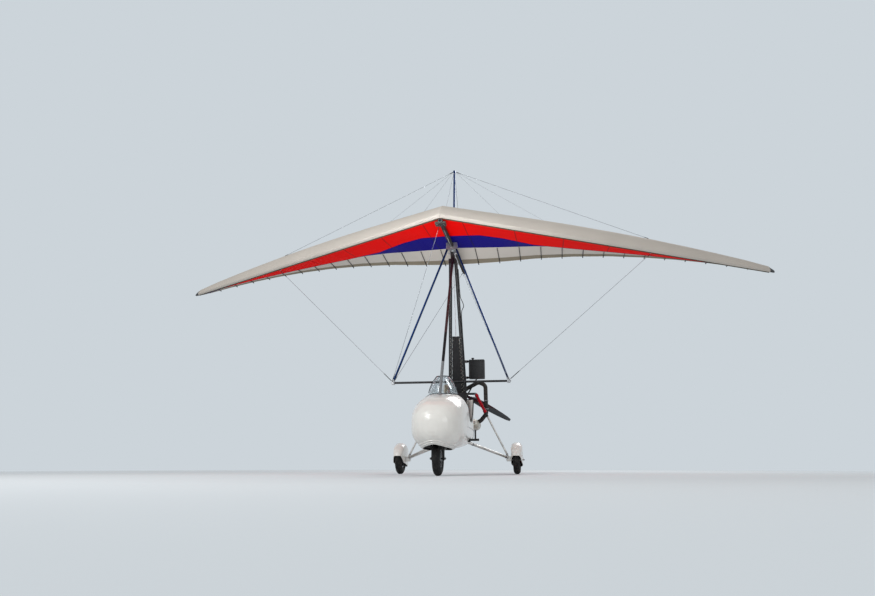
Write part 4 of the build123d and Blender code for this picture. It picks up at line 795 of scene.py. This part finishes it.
class MICROLIGHT_OT_mast_trim(bpy.types.Operator):
    """Cable, light line and laced fabric panel on the mast"""
    bl_idname = "microlight.mast_trim"
    bl_label = "Mast trim"

    def execute(self, context):
        self.panel()
        self.cables()
        self.fittings()
        return {"FINISHED"}

    def mast(self, z, side):
        """Centre of a mast tube at height z, straight from head to foot; side 0 is midway between them."""
        drop = (MAST_TOP - np.asarray(z, float)) / MAST_DROP
        return np.stack([side * (MAST_HALF + MAST_SPREAD * drop), MAST_LEAN * drop + BOLT[1],
                         MAST_TOP - MAST_DROP * drop], -1)

    def panel(self):
        """Fabric between the tubes: straight across at its ends, dished back by a sine of the height and a
        cosine of the width, its sides drawn in by a sine between the lacings, with a hem round its edges."""
        rows, columns, low, high = 60, 15, 1.134, 1.956
        z = np.linspace(low, high, rows)
        centre, half = self.mast(z, 0), self.mast(z, 1)[:, 0] - MAST_R - 0.004
        u = np.linspace(-1, 1, columns)
        scallop = 1 - 0.05 * np.abs(np.sin(np.linspace(0, 9 * np.pi, rows)))
        x = half[:, None] * scallop[:, None] * u[None]
        dish = 0.004 * np.cos(u * np.pi / 2)[None] * np.sin(np.linspace(0, np.pi, rows))[:, None]
        points = np.stack([x, centre[:, 1:2] + dish, np.broadcast_to(z[:, None], x.shape)], -1)
        fabric = coated_fabric("coated nylon, mast panel", linear("151517"))
        grid = (points.reshape(-1, 3), grid_faces(rows, columns).tolist())
        cloth = piece("mast_panel", "trike", [grid], fabric)
        finish_with(cloth, "SOLIDIFY", thickness=0.0024, offset=0.0)
        edges = [points[:, 0], points[:, -1], points[0], points[-1]]
        hem = piece("mast_panel_hem", "trike", [tube(edge, 0.0034, 8) for edge in edges], fabric)
        turns = 30
        z = np.linspace(low + 0.026, high - 0.026, turns)
        inward = np.arange(turns)[:, None] % 2 == 0
        lacing = []
        for side in (-1, 1):
            tubes = self.mast(z, side)
            eyelet = tubes + (-side * (MAST_R + 0.0135), -0.007, 0)
            lacing.append(tube(np.where(inward, eyelet, tubes + (0, -MAST_R - 0.0025, 0)), 0.0016, 6))
        piece("mast_panel_lacing", "trike", lacing, made_of("woven polyester, white"))
        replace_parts(cloth, "back_panel")

    def cables(self):
        """Sleeved cable clipped down the port tube with one loose loop, and a pale cord between the tubes."""
        # Heights down the tube, and how far out from its centre the cable runs there
        z, out = np.array([
            (2.92, 0.030), (2.70, 0.030), (2.52, 0.034), (2.44, 0.062), (2.38, 0.070), (2.30, 0.036),
            (2.10, 0.030), (1.70, 0.030), (1.20, 0.030)]).T
        path = self.mast(z, 1) + np.stack([out, 0 * out - 0.008, 0 * out], -1)
        piece("mast_cable", "trike", [tube(smooth_path(path, 8), 0.0055, 8)],
              made_of("heat-shrunk sleeve, black"))
        down = (0.036, 0.208, -1.0)
        ties = [band(self.mast(z, 1) + (0, 0, -0.004), down, MAST_R + 0.0012, MAST_R + 0.0035, 0.008, 24)
                for z in (2.86, 2.62, 2.24, 1.95, 1.65, 1.35)]
        piece("cable_ties", "trike", ties, made_of("moulded nylon, black"))
        ends = np.array([3.00, 1.95])
        pale = moulded_polymer("braided cord, pale grey", linear("B9BDC2"))
        piece("mast_cord", "trike", [tube(self.mast(ends, 0) + (0.004, -0.003, 0), 0.0055, 8)], pale)

    def fittings(self):
        """Bolts through the mast's head, its cross tube and its foot."""
        parts = []
        for side in (-1, 1):
            for z in (3.055, 3.015):
                parts += bolt((side * 0.062, BOLT[1] + 0.018, z), (side, 0, 0), 0.007)
            parts += bolt((side * 0.264, BOLT[1] + 0.424, 1.137), (0, -1, 0), 0.009)
            for z in (0.56, 0.60):
                parts += bolt(self.mast(z, side) + (0, -MAST_R - 0.0005, 0), (0, -1, 0), 0.007)
        piece("mast_bolts", "trike", parts, made_of("pressed steel fittings"), False)


# Pod sections as in the solids: place ahead of the main axle as a share of the wheelbase, half width,
# top, bottom, upper and lower corner radius; millimetres
POD = np.array([
    (1.2208, 60.0, 640.0, 500.0, 58.0, 55.0),
    (1.2129, 112.0, 692.0, 452.0, 104.0, 100.0),
    (1.1972, 170.0, 748.0, 408.0, 152.0, 140.0),
    (1.1680, 226.0, 808.0, 366.0, 198.0, 175.0),
    (1.1253, 270.0, 860.0, 338.0, 232.0, 200.0),
    (1.0646, 302.0, 908.0, 322.0, 254.0, 215.0),
    (0.9860, 320.0, 946.0, 316.0, 266.0, 220.0),
    (0.8961, 325.0, 978.0, 318.0, 262.0, 216.0),
    (0.7697, 322.0, 1012.0, 326.0, 240.0, 204.0),
    (0.5702, 312.0, 1012.0, 344.0, 220.0, 190.0),
    (0.3455, 292.0, 1100.0, 368.0, 190.0, 176.0),
    (0.0000, 236.0, 1250.0, 412.0, 150.0, 146.0),
]) * (1.0, MM, MM, MM, MM, MM)
MAIN_Y, WHEELBASE = 0.415, 1.780
DASH_Y = MAIN_Y - 0.7697 * WHEELBASE
# Side view of the cockpit's edge behind the dash: place and height, metres
RIM_LINE = np.array([
    (DASH_Y + 0.034, 0.866), (DASH_Y + 0.088, 0.778), (DASH_Y + 0.165, 0.714), (DASH_Y + 0.260, 0.680),
    (DASH_Y + 0.350, 0.672), (DASH_Y + 0.450, 0.684), (DASH_Y + 0.590, 0.734), (0.378, 1.047),
])


def pod_row(y):
    """Half width, top, bottom and corner radii of the pod at y, straight between its sections."""
    ahead = (MAIN_Y - np.asarray(y, float)) / WHEELBASE
    return [np.interp(ahead, POD[::-1, 0], POD[::-1, k]) for k in range(1, 6)]


def pod_side(y, z):
    """Half width of the pod at y and z: the flat side, or the circle of the corner above or below it."""
    w, top, low, rt, rl = pod_row(y)
    up, down = np.clip(z - (top - rt), 0, rt), np.clip(low + rl - z, 0, rl)
    return w - rt + np.sqrt(rt ** 2 - up ** 2) - (rl - np.sqrt(rl ** 2 - down ** 2))


class MICROLIGHT_OT_pod_trim(bpy.types.Operator):
    """Edge mouldings, screen frame, instruments and screws of the pod, and the foot bar's grips"""
    bl_idname = "microlight.pod_trim"
    bl_label = "Pod trim"

    def execute(self, context):
        edging = cured_rubber("extruded rubber edging", linear("131314"))
        self.cockpit_edge(edging)
        self.screen_frame(edging)
        self.instruments()
        self.fasteners()
        return {"FINISHED"}

    def cockpit_edge(self, edging):
        """Rubber bead along the opening: the side view line on the pod's side surface, over the crown at the
        dash and straight across the rear wall."""
        inset, count, rise_count = 0.003, 40, 6
        rise = np.column_stack([np.full(rise_count, DASH_Y), np.linspace(0.985, 0.880, rise_count)])
        line = np.vstack([rise, smooth_path(RIM_LINE, 8)])
        side = np.column_stack([pod_side(line[:, 0], line[:, 1]) - inset, line[:, 0] + BOLT[1], line[:, 1]])
        w, top, corner = (pod_row(DASH_Y)[k] for k in (0, 1, 3))
        angle = np.linspace(0.0, np.pi, count)
        crown_x = (w - corner) * np.clip(np.cos(angle) * 3, -1, 1) + (corner - inset) * np.cos(angle)
        crown_z = top - corner + (corner - inset) * np.sin(angle)
        crown = np.column_stack([crown_x, np.full(count, DASH_Y + BOLT[1]), crown_z])
        crown = crown[crown_z > 0.99]
        other = side * (-1, 1, 1)
        rear = np.linspace(side[-1], other[-1], 12)[1:-1]
        loop = np.vstack([crown, other, rear[::-1], side[::-1]])
        steps = np.linalg.norm(np.diff(loop, axis=0, append=loop[:1]), axis=1)
        loop = np.vstack([loop[steps > 0.004], loop[:1]])
        piece("cockpit_edging", "trike", [tube(loop, 0.0075, 8, up=(0.31, 0.17, 0.02))], edging)

    def screen_frame(self, edging):
        """Bead round the screen's free edge: up one side, where x = sqrt(r^2 - cut^2) of the turned form's
        radius r, round its top and down the other side; and a seal where the screen meets the pod."""
        bottom, cut, base_radius, count = 0.930, 0.056, 0.185, 14
        h = np.linspace(0.088, 0.297, count)
        # The screen's radius is the curve through three heights above its bottom
        r = np.polyval(np.polyfit((0.0, 0.170, 0.300), (0.196, 0.170, 0.096), 2), h)
        axis_y = DASH_Y + 0.050 + BOLT[1]
        up = np.column_stack([np.sqrt(r ** 2 - cut ** 2), np.full(count, axis_y - cut), bottom + h])
        end = math.acos(cut / r[-1])
        a = np.linspace(end, -end, 24)
        over = np.column_stack([r[-1] * np.sin(a), axis_y - r[-1] * np.cos(a), np.full(24, bottom + h[-1])])
        loop = np.vstack([up, over[1:-1], up[::-1] * (-1, 1, 1)])
        piece("screen_edging", "trike", [tube(loop, 0.0052, 8, up=(0.2, 1.0, 0.15))], edging)
        a = np.linspace(-1.22, 1.22, 60)
        x, y = base_radius * np.sin(a), axis_y - base_radius * np.cos(a)
        w, top, corner = (pod_row(y - BOLT[1])[k] for k in (0, 1, 3))
        past = np.clip(np.abs(x) - (w - corner), 0, corner)
        z = top - corner + np.sqrt(corner ** 2 - past ** 2)
        piece("screen_base_seal", "trike", [tube(np.column_stack([x, y, z + 0.002]), 0.0055, 8)], edging)

    def instruments(self):
        """Five turned dials on the dash's rear face, three large and two small: a bezel and a dished face."""
        black = made_of("moulded nylon, black")
        dark = moulded_polymer("dial faces, dark grey", linear("2E3236"), 0.2)
        large, small = 0.040, 0.028
        dials, faces = [], []
        for x, z, r in ((-0.105, 0.885, large), (0.0, 0.895, large), (0.105, 0.885, large),
                        (-0.055, 0.815, small), (0.055, 0.815, small)):
            at = (x, DASH_Y - 0.006 + BOLT[1], z)
            dials.append(lathe(at, (0, 1, 0), (
                (0, r), (0.008, r), (0.011, r - 0.003), (0.008, r - 0.006), (0.003, r - 0.006))))
            faces.append(lathe(at, (0, 1, 0), ((0, r - 0.007), (0.005, r - 0.007), (0.0052, 0.002))))
        piece("dial_bezels", "trike", dials, black)
        piece("dial_faces", "trike", faces, dark)

    def fasteners(self):
        """Row of domed screws along the pod's lower joint line, and a capped and ribbed grip on each end of
        the foot bar."""
        joint_z, bar_z = 0.585, 0.441
        bar_y = MAIN_Y - 0.5927 * WHEELBASE + BOLT[1]
        dome = ((0, 0.009), (0.0012, 0.009), (0.0036, 0.006), (0.0046, 0.001))
        cap = ((0, 0.0148), (0.006, 0.0165), (0.014, 0.0165), (0.017, 0.012))
        rib = ((0, 0.0142), (0.001, 0.0155), (0.006, 0.0155), (0.007, 0.0142))
        screws, grips = [], []
        for side in (-1, 1):
            for y in np.linspace(-1.05, 0.16, 9):
                x = float(pod_side(y, joint_z)) - 0.0005
                screws.append(lathe((side * x, y + BOLT[1], joint_z), (side, 0, 0), dome, 12))
            grips.append(lathe((side * 0.400, bar_y, bar_z), (side, 0, 0), cap))
            for k in range(5):
                grips.append(lathe((side * (0.326 + 0.014 * k), bar_y, bar_z), (side, 0, 0), rib))
        piece("pod_screws", "trike", screws, made_of("pressed steel fittings"))
        piece("step_bar_grips", "trike", grips, made_of("extruded rubber edging"))


# Seat pads: the remesh's step, how far its points are drawn in and may then move out, and the simulation's
# air pressure and length in frames
PAD_STEP, PAD_INSET, PAD_RISE = 0.006, 0.006, 0.012
PAD_PRESSURE, PAD_FRAMES = 4.0, 20
# Length of each seat's cushion
CUSHIONS = {"front_seat": 0.345, "rear_seat": 0.288}


class MICROLIGHT_OT_pads(bpy.types.Operator):
    """Front and rear pads with piping, blown up by a cloth simulation from the solids"""
    bl_idname = "microlight.pads"
    bl_label = "Pads"

    def execute(self, context):
        fabric = made_of("coated nylon, black")
        for name, length in CUSHIONS.items():
            made = self.pad(name, fabric)
            self.piping(name, length)
        return {"FINISHED"}

    def pad(self, name, fabric):
        """The solids' two pads remeshed and drawn in, then pushed outwards by air pressure."""
        mesh = NODES[name].data.copy()
        mesh.materials.clear()
        made = bpy.data.objects.new(name + "_pads", mesh)
        bpy.context.scene.collection.objects.link(made)
        finish_with(made, "WELD", merge_threshold=0.0002)
        finish_with(made, "REMESH", mode="VOXEL", voxel_size=PAD_STEP)
        co = np.empty(len(made.data.vertices) * 3, np.float32)
        no = np.empty(len(made.data.vertices) * 3, np.float32)
        made.data.vertices.foreach_get("co", co)
        made.data.vertices.foreach_get("normal", no)
        start = co.reshape(-1, 3) - PAD_INSET * no.reshape(-1, 3)
        made.data.vertices.foreach_set("co", start.ravel())
        made.data.update()
        start = self.inflate(made, start)
        low, high = (np.array(corner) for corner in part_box(name))
        start = np.clip(start, low - 0.004, high + 0.004).astype(np.float32)
        made.data.vertices.foreach_set("co", start.ravel())
        made.data.update()
        finish_with(made, "SUBSURF", levels=1, render_levels=1)
        made.data.materials.clear()
        made.data.materials.append(fabric)
        made.data.polygons.foreach_set("use_smooth", np.ones(len(made.data.polygons), bool))
        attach(made, "trike")
        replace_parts(made, name)
        return made

    def inflate(self, made, start):
        """Runs the cloth with air pressure and no gravity, and holds each point near its start."""
        scene = bpy.context.scene
        cloth = made.modifiers.new("cloth", "CLOTH")
        cloth.settings.use_pressure = True
        cloth.settings.uniform_pressure_force = PAD_PRESSURE
        cloth.settings.effector_weights.gravity = 0.0
        cloth.settings.quality = 5
        cloth.point_cache.frame_start, cloth.point_cache.frame_end = 1, PAD_FRAMES
        for at in range(1, PAD_FRAMES + 1):
            scene.frame_set(at)
        graph = bpy.context.evaluated_depsgraph_get()
        blown = made.evaluated_get(graph).to_mesh()
        co = np.empty(len(start) * 3, np.float32)
        blown.vertices.foreach_get("co", co)
        made.evaluated_get(graph).to_mesh_clear()
        made.modifiers.clear()
        scene.frame_set(1)
        move = co.reshape(-1, 3) - start
        length = np.linalg.norm(move, axis=1)[:, None]
        return start + move * np.minimum(1.0, PAD_RISE / np.maximum(length, 1e-9))

    def piping(self, name, length):
        """Cord round the cushion's upper edge: x and y are the powers 0.22 of a circle's cosine and sine,
        which make a rounded rectangle."""
        low, high = (np.array(corner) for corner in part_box(name))
        edge_z, count = low[2] + 0.084, 65
        a = np.linspace(0, 2 * np.pi, count)
        c, s = (np.sign(v) * np.abs(v) ** 0.22 for v in (np.cos(a), np.sin(a)))
        x = ((high[0] - low[0]) / 2 - 0.010) * c
        y = low[1] + length / 2 + (length / 2 - 0.012) * s
        cord = tube(np.column_stack([x, y, np.full(count, edge_z)]), 0.0036, 6)
        piece(name + "_piping", "trike", [cord], made_of("extruded rubber edging"))


# Height of the propeller's axis
PROP_Z = 1.200


class MICROLIGHT_OT_engine_trim(bpy.types.Operator):
    """Coolant hoses, plug leads, fuel line, clamps, mounts and bolts of the engine and propeller"""
    bl_idname = "microlight.engine_trim"
    bl_label = "Engine trim"

    def execute(self, context):
        self.hoses()
        self.ignition()
        self.clamps()
        self.bolts()
        return {"FINISHED"}

    def placed(self, points):
        """From the solids' own axes, where y is 0 at the hang bolt, to the shared frame."""
        return np.asarray(points, float) + (0, BOLT[1], 0)

    def hose(self, name, ways, radius, sides, material, steps=8):
        """Smooth tubes through the points of each way."""
        piece(name, "trike", [tube(smooth_path(self.placed(way), steps), radius, sides)
                              for way in ways], material)

    def hoses(self):
        """Moulded hoses from the head and the pump to the radiator, the fuel line from the tank, and a short
        hose by the muffler."""
        rubber = cured_rubber("moulded coolant hose", linear("1B1B1C"))
        upper = ((0, 0.679, 1.330), (0, 0.679, 1.380), (0.004, 0.672, 1.470), (0.022, 0.650, 1.575),
                 (0.062, 0.615, 1.630), (0.112, 0.605, 1.636), (0.134, 0.605, 1.636))
        lower = ((0.134, 0.605, 1.394), (0.112, 0.605, 1.394), (0.082, 0.585, 1.385), (0.062, 0.548, 1.330),
                 (0.056, 0.534, 1.230), (0.048, 0.536, 1.150), (0.042, 0.545, 1.115))
        self.hose("coolant_hoses", (upper, lower), 0.0192, 14, rubber)
        fuel = ((-0.080, 0.410, 0.697), (-0.088, 0.425, 0.735), (-0.128, 0.480, 0.860),
                (-0.140, 0.520, 1.050), (-0.124, 0.575, 1.200), (-0.110, 0.600, 1.262),
                (-0.108, 0.612, 1.285))
        self.hose("fuel_line", (fuel,), 0.0048, 8, moulded_polymer("fuel line, grey", linear("8B8D8E"), 0.3))
        brace = ((0.150, 0.560, 0.60), (0.168, 0.600, 0.66), (0.190, 0.640, 0.72))
        grey = moulded_polymer("corrugated hose, grey", linear("7C7E80"), 0.4)
        self.hose("muffler_hose", (brace,), 0.009, 10, grey, 6)

    def ignition(self):
        """A cap on each plug and a lead from it round the head's side to the case."""
        cap = ((0, 0.0085), (0.012, 0.0095), (0.030, 0.0085), (0.038, 0.0060))
        caps, ways = [], []
        for k, y in enumerate((0.618, 0.740)):
            caps.append(lathe(self.placed((0, y, 1.318)), (0, 0, 1), cap))
            ways.append(((0, y, 1.352), (0.006, y - 0.012, 1.368), (0.040, y - 0.05, 1.358),
                         (0.072, 0.560 + 0.02 * k, 1.310), (0.084, 0.540 + 0.02 * k, 1.220),
                         (0.080, 0.545, 1.140)))
        piece("plug_caps", "trike", caps, made_of("moulded coolant hose"))
        red = moulded_polymer("silicone ignition lead, dark red", linear("571012"))
        self.hose("plug_leads", ways, 0.0038, 8, red)

    def clamps(self):
        """Flat steel bands round the hoses, ports, pipe and can, and rubber mounts under the case."""
        hose, port, pipe = 0.0188, 0.0264, 0.0294
        across, up, lean = (1, 0, 0), (0, 0, 1), (0, 0.05, 1)
        # Centre, axis, inner radius and half width
        table = (
            ((0, 0.679, 1.352), up, hose, 0.005), ((0.108, 0.605, 1.636), across, hose, 0.005),
            ((0.108, 0.605, 1.394), across, hose, 0.005), ((-0.087, 0.618, 1.225), across, port, 0.006),
            ((-0.087, 0.740, 1.225), across, port, 0.006), ((0.3955, 0.638, 1.05), lean, pipe, 0.008),
            ((0.3945, 0.642, 0.93), lean, pipe, 0.008),
        )
        bands = []
        for centre, axis, r, half in table:
            start = self.placed(centre) - half * np.array(axis, float) / np.linalg.norm(axis)
            bands.append(band(start, axis, r, r + 0.0026, 2 * half, 24))
        piece("band_clamps", "trike", bands, made_of("pressed steel fittings"))
        waisted = ((0, 0.021), (0.004, 0.024), (0.018, 0.020), (0.032, 0.024), (0.036, 0.021))
        mounts = [lathe(self.placed((x, y, 0.948)), up, waisted, 18) for x in (-0.080, 0.080)
                  for y in (0.614, 0.766)]
        piece("engine_mounts", "trike", mounts, made_of("moulded coolant hose"))

    def bolts(self):
        """Rings of hexagon bolts on the gear case, the starter cover and the propeller's hub."""
        steel = made_of("pressed steel fittings")
        case = bolt_circle(self.placed((0, 0.856, PROP_Z)), (0, 1, 0), 0.068, 0.0055)
        starter = bolt_circle(self.placed((0, 0.510, 1.077)), (0, -1, 0), 0.043, 0.0050)
        piece("engine_bolts", "trike", case + starter, steel, False)
        hub = bolt_circle(self.placed((0, 0.924, PROP_Z)), (0, 1, 0), 0.048, 0.0065)
        piece("hub_bolts", "propeller_body", hub, steel, False)


# Half width and radii of the tyres: on the rim and outside
TYRE_HALF, RIM_R, TYRE_R = 0.0475, 0.105, 0.200


class MICROLIGHT_OT_wheel_trim(bpy.types.Operator):
    """Treaded tyres, wheel bolts, valves, axle nuts and leg fittings"""
    bl_idname = "microlight.wheel_trim"
    bl_label = "Wheels and legs"

    def execute(self, context):
        steel = made_of("pressed steel fittings")
        rubber = made_of("vulcanised rubber")
        for name in ("nose", "left", "right"):
            centre = sum(np.array(corner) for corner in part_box(name + "_tyre")) / 2
            body = name + "_wheel"
            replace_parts(piece(name + "_tread", body, [self.tyre(centre)], rubber), name + "_tyre")
            bolts = [made for side in (-1, 1) for made in bolt_circle(
                centre + (side * 0.012, 0, 0), (side, 0, 0), 0.044, 0.0042)]
            piece(name + "_wheel_bolts", body, bolts, steel, False)
            stem = lathe(centre + (0.010, 0.0, 0.088), (0.8, 0, -0.6), (
                (0, 0.004), (0.020, 0.0035), (0.022, 0.0045), (0.030, 0.0045)), 10)
            piece(name + "_valve", body, [stem], rubber)
        self.axles(steel)
        self.legs(steel)
        return {"FINISHED"}

    def tyre(self, centre):
        """Round the axle: the radius is the carcass curve, which falls by the power 3.2 of the way out, less
        three grooves 4 mm deep round the tread, and less 3 mm cuts across both shoulders where a sine of 40
        turns of the angle is positive."""
        w, count, turns = TYRE_HALF, 45, 160
        inner, wall = np.linspace(RIM_R, RIM_R + 0.028, 4), np.linspace(RIM_R + 0.030, TYRE_R - 0.036, 5)
        across = np.linspace(-1, 1, count)[1:-1]
        x = w * np.concatenate([np.linspace(-0.72, -1, 4), np.full(5, -1), across, np.full(5, 1),
                                np.linspace(1, 0.72, 4)])
        r = np.concatenate([inner, wall, TYRE_R - 0.034 * np.abs(across) ** 3.2, wall[::-1], inner[::-1]])
        tread = slice(9, 9 + count - 2)
        off = np.abs(across)
        groove = 0.004 * sum(np.clip(1.6 - np.abs(across - at) / 0.045, 0, 1) for at in (-0.42, 0.0, 0.42))
        shoulder = 0.003 * np.clip((off - 0.55) / 0.06, 0, 1) * np.clip((0.98 - off) / 0.06, 0, 1)
        a = 2 * np.pi * np.arange(turns) / turns
        cut = np.clip(np.sin(40 * a + 0.4) * 3, 0, 1)
        radius = np.broadcast_to(r, (turns, len(r))).copy()
        radius[:, tread] -= groove[None] + shoulder[None] * cut[:, None]
        points = np.stack([np.broadcast_to(x, radius.shape), radius * np.cos(a)[:, None],
                           radius * np.sin(a)[:, None]], -1) + centre
        faces = grid_faces(turns, len(r), close_rows=True, close_columns=True)
        return points.reshape(-1, 3), faces.tolist()

    def axles(self, steel):
        """Castle nut and washer on each axle's end, and screws that hold the fairings."""
        y, z, nut = MAIN_Y + BOLT[1], TYRE_R, 0.0125
        dome = ((0, 0.009), (0.0015, 0.009), (0.004, 0.006), (0.005, 0.001))
        nuts, screws = [], []
        for side in (-1, 1):
            nuts += bolt((side * 0.9318, y, z), (side, 0, 0), nut)
            for x, dy, dz in ((0.9205, 0.0, 0.090), (0.9170, 0.110, 0.030), (0.9162, -0.110, 0.050)):
                screws.append(lathe((side * x, y + dy, z + dz), (side, 0, 0), dome, 12))
        piece("axle_nuts", "trike", nuts, steel, False)
        piece("fairing_screws", "trike", screws, steel)
        nose_y = MAIN_Y - WHEELBASE + BOLT[1]
        piece("nose_axle_nuts", "fork", [made for side in (-1, 1) for made in bolt(
            (side * 0.0838, nose_y, z), (side, 0, 0), nut)], steel, False)

    def legs(self, steel):
        """Clamp collars on each leg tube, and a ribbed rubber boot under each shock unit."""
        # Inner end, tube radius and the shares of the length that have a collar
        tubes = (((0.056, -0.200, 0.482), 0.017, (0.30, 0.93)), ((0.056, 0.380, 0.482), 0.017, (0.30, 0.93)),
                 ((0.264, 0.440, 1.137), 0.013, (0.93,)))
        ribs = [(0.006 * k, 0.0150 + 0.004 * (k % 2)) for k in range(12)]
        collars, boots = [], []
        for side in (-1, 1):
            hub = np.array([side * 0.728, MAIN_Y + BOLT[1], 0.222])
            for inner, r, shares in tubes:
                start = np.array(inner) * (side, 1, 1) + (0, BOLT[1], 0)
                way = hub - start
                collars += [band(start + way * share, way, r - 0.001, r + 0.003, 0.018) for share in shares]
            boots.append(lathe(start + way * 0.3006, way, ribs, 16))
        piece("leg_collars", "trike", collars, steel)
        piece("shock_boots", "trike", boots, made_of("moulded coolant hose"))


# Strength of the even light, and the distances over which the floor fades into the surroundings
AMBIENT, FADE_START, FADE_END = 0.42, 5.5, 11.5


class MICROLIGHT_OT_stage(bpy.types.Operator):
    """Makes the pale floor, the surroundings, the soft lamps and the floor-level camera"""
    bl_idname = "microlight.stage"
    bl_label = "Stage"

    def execute(self, context):
        settings = context.scene.microlight_stage
        self.floor(settings)
        self.world(context, settings)
        self.lamps()
        self.camera(context, settings)
        context.scene.view_settings.view_transform = "Standard"
        return {"FINISHED"}

    def floor(self, settings):
        pale = Finish("pale floor", settings.floor, 0.9, Specular_IOR_Level=0.0)
        away = pale.add("ShaderNodeVectorMath", {0: pale.where}, "Value", operation="LENGTH")
        far = pale.add("ShaderNodeMapRange", {0: away, 1: FADE_START, 2: FADE_END})
        clear = pale.add("ShaderNodeBsdfTransparent")
        fade = pale.add("ShaderNodeMixShader", {0: far, 1: pale.surface, 2: clear})
        pale.tree.links.new(fade, pale.out.inputs["Surface"])
        half = 60.0
        points = np.array([(-half, -half, 0), (half, -half, 0), (half, half, 0), (-half, half, 0)])
        floor = new_object("floor", points, np.array([[0, 1, 2, 3]]), pale.material, False)

    def world(self, context, settings):
        world = bpy.data.worlds.new("soft room")
        world.use_nodes = True
        tree = world.node_tree
        tree.nodes.clear()
        path = add_node(tree, "ShaderNodeLightPath").node.outputs
        straight = add_node(tree, "ShaderNodeMath", {
            0: path["Is Camera Ray"], 1: path["Is Glossy Ray"]}, operation="ADD")
        seen = add_node(tree, "ShaderNodeMath", {
            0: straight, 1: path["Is Transmission Ray"]}, operation="ADD", use_clamp=True)
        ambient = add_node(tree, "ShaderNodeBackground", {"Color": (1, 1, 1, 1), "Strength": AMBIENT})
        backdrop = add_node(tree, "ShaderNodeBackground", {"Color": (*settings.backdrop, 1), "Strength": 1.0})
        mix = add_node(tree, "ShaderNodeMixShader", {0: seen, 1: ambient, 2: backdrop})
        add_node(tree, "ShaderNodeOutputWorld", {"Surface": mix})
        context.scene.world = world

    def lamps(self):
        # Place and aim, size in metres, power in watts and spread in degrees of each soft lamp
        table = (
            ("key", (-5.0, -9.0, 7.0), (0, 0, 2.0), 4.0, 500.0, 180.0),
            ("fill", (9.0, -10.0, 5.0), (0, 0, 2.0), 6.0, 160.0, 180.0),
            ("low", (0.2, -5.2, 0.3), (0, 0, 3.4), 2.5, 30.0, 50.0),
            ("back", (3.0, 9.0, 8.0), (0, 0, 2.0), 6.0, 470.0, 180.0),
        )
        for name, place, aim, size, power, spread in table:
            data = bpy.data.lights.new(name, "AREA")
            data.shape, data.size, data.energy = "DISK", size, power
            data.spread = math.radians(spread)
            lamp = bpy.data.objects.new(name, data)
            lamp.location = place
            lamp.rotation_euler = (Vector(aim) - Vector(place)).to_track_quat("-Z", "Y").to_euler()
            bpy.context.scene.collection.objects.link(lamp)

    def camera(self, context, settings):
        x, y = BOLT[:2]
        back = Vector((math.sin(settings.azimuth), -math.cos(settings.azimuth), 0))
        side = Vector((math.cos(settings.azimuth), math.sin(settings.azimuth), 0))
        place = Vector((x, y, settings.height)) + back * settings.distance
        aim = Vector((x, y, settings.aim_height)) + side * settings.aim_side
        data = bpy.data.cameras.new("floor level view")
        data.lens, data.sensor_width = settings.lens, 36.0
        data.clip_end = 200.0
        camera = bpy.data.objects.new("floor level view", data)
        camera.location = place
        camera.rotation_euler = (aim - place).to_track_quat("-Z", "Y").to_euler()
        context.scene.collection.objects.link(camera)
        context.scene.camera = camera


class MICROLIGHT_PT_panel(bpy.types.Panel):
    bl_label = "Microlight"
    bl_idname = "MICROLIGHT_PT_panel"
    bl_space_type = "VIEW_3D"
    bl_region_type = "UI"
    bl_category = "Microlight"

    def draw(self, context):
        for operator in OPERATORS:
            self.layout.operator(operator.bl_idname)
        for group in SETTINGS:
            values = getattr(context.scene, group)
            for key in values.__annotations__:
                self.layout.prop(values, key)


OPERATORS = (
    MICROLIGHT_OT_finishes,
    MICROLIGHT_OT_sail_trim,
    MICROLIGHT_OT_rigging,
    MICROLIGHT_OT_mast_trim,
    MICROLIGHT_OT_pod_trim,
    MICROLIGHT_OT_pads,
    MICROLIGHT_OT_engine_trim,
    MICROLIGHT_OT_wheel_trim,
    MICROLIGHT_OT_stage,
)
SETTINGS = {
    "microlight_stage": StageSettings,
    "microlight_cloth": ClothSettings,
    "microlight_shell": ShellSettings,
}


def register():
    for group in (*SETTINGS.values(), *OPERATORS, MICROLIGHT_PT_panel):
        bpy.utils.register_class(group)
    for name, group in SETTINGS.items():
        setattr(bpy.types.Scene, name, bpy.props.PointerProperty(type=group))


def unregister():
    for name in SETTINGS:
        delattr(bpy.types.Scene, name)
    for group in reversed((*SETTINGS.values(), *OPERATORS, MICROLIGHT_PT_panel)):
        bpy.utils.unregister_class(group)


def main():
    register()
    for operator in OPERATORS:
        space, name = operator.bl_idname.split(".")
        getattr(getattr(bpy.ops, space), name)()


if __name__ == "__main__":
    main()
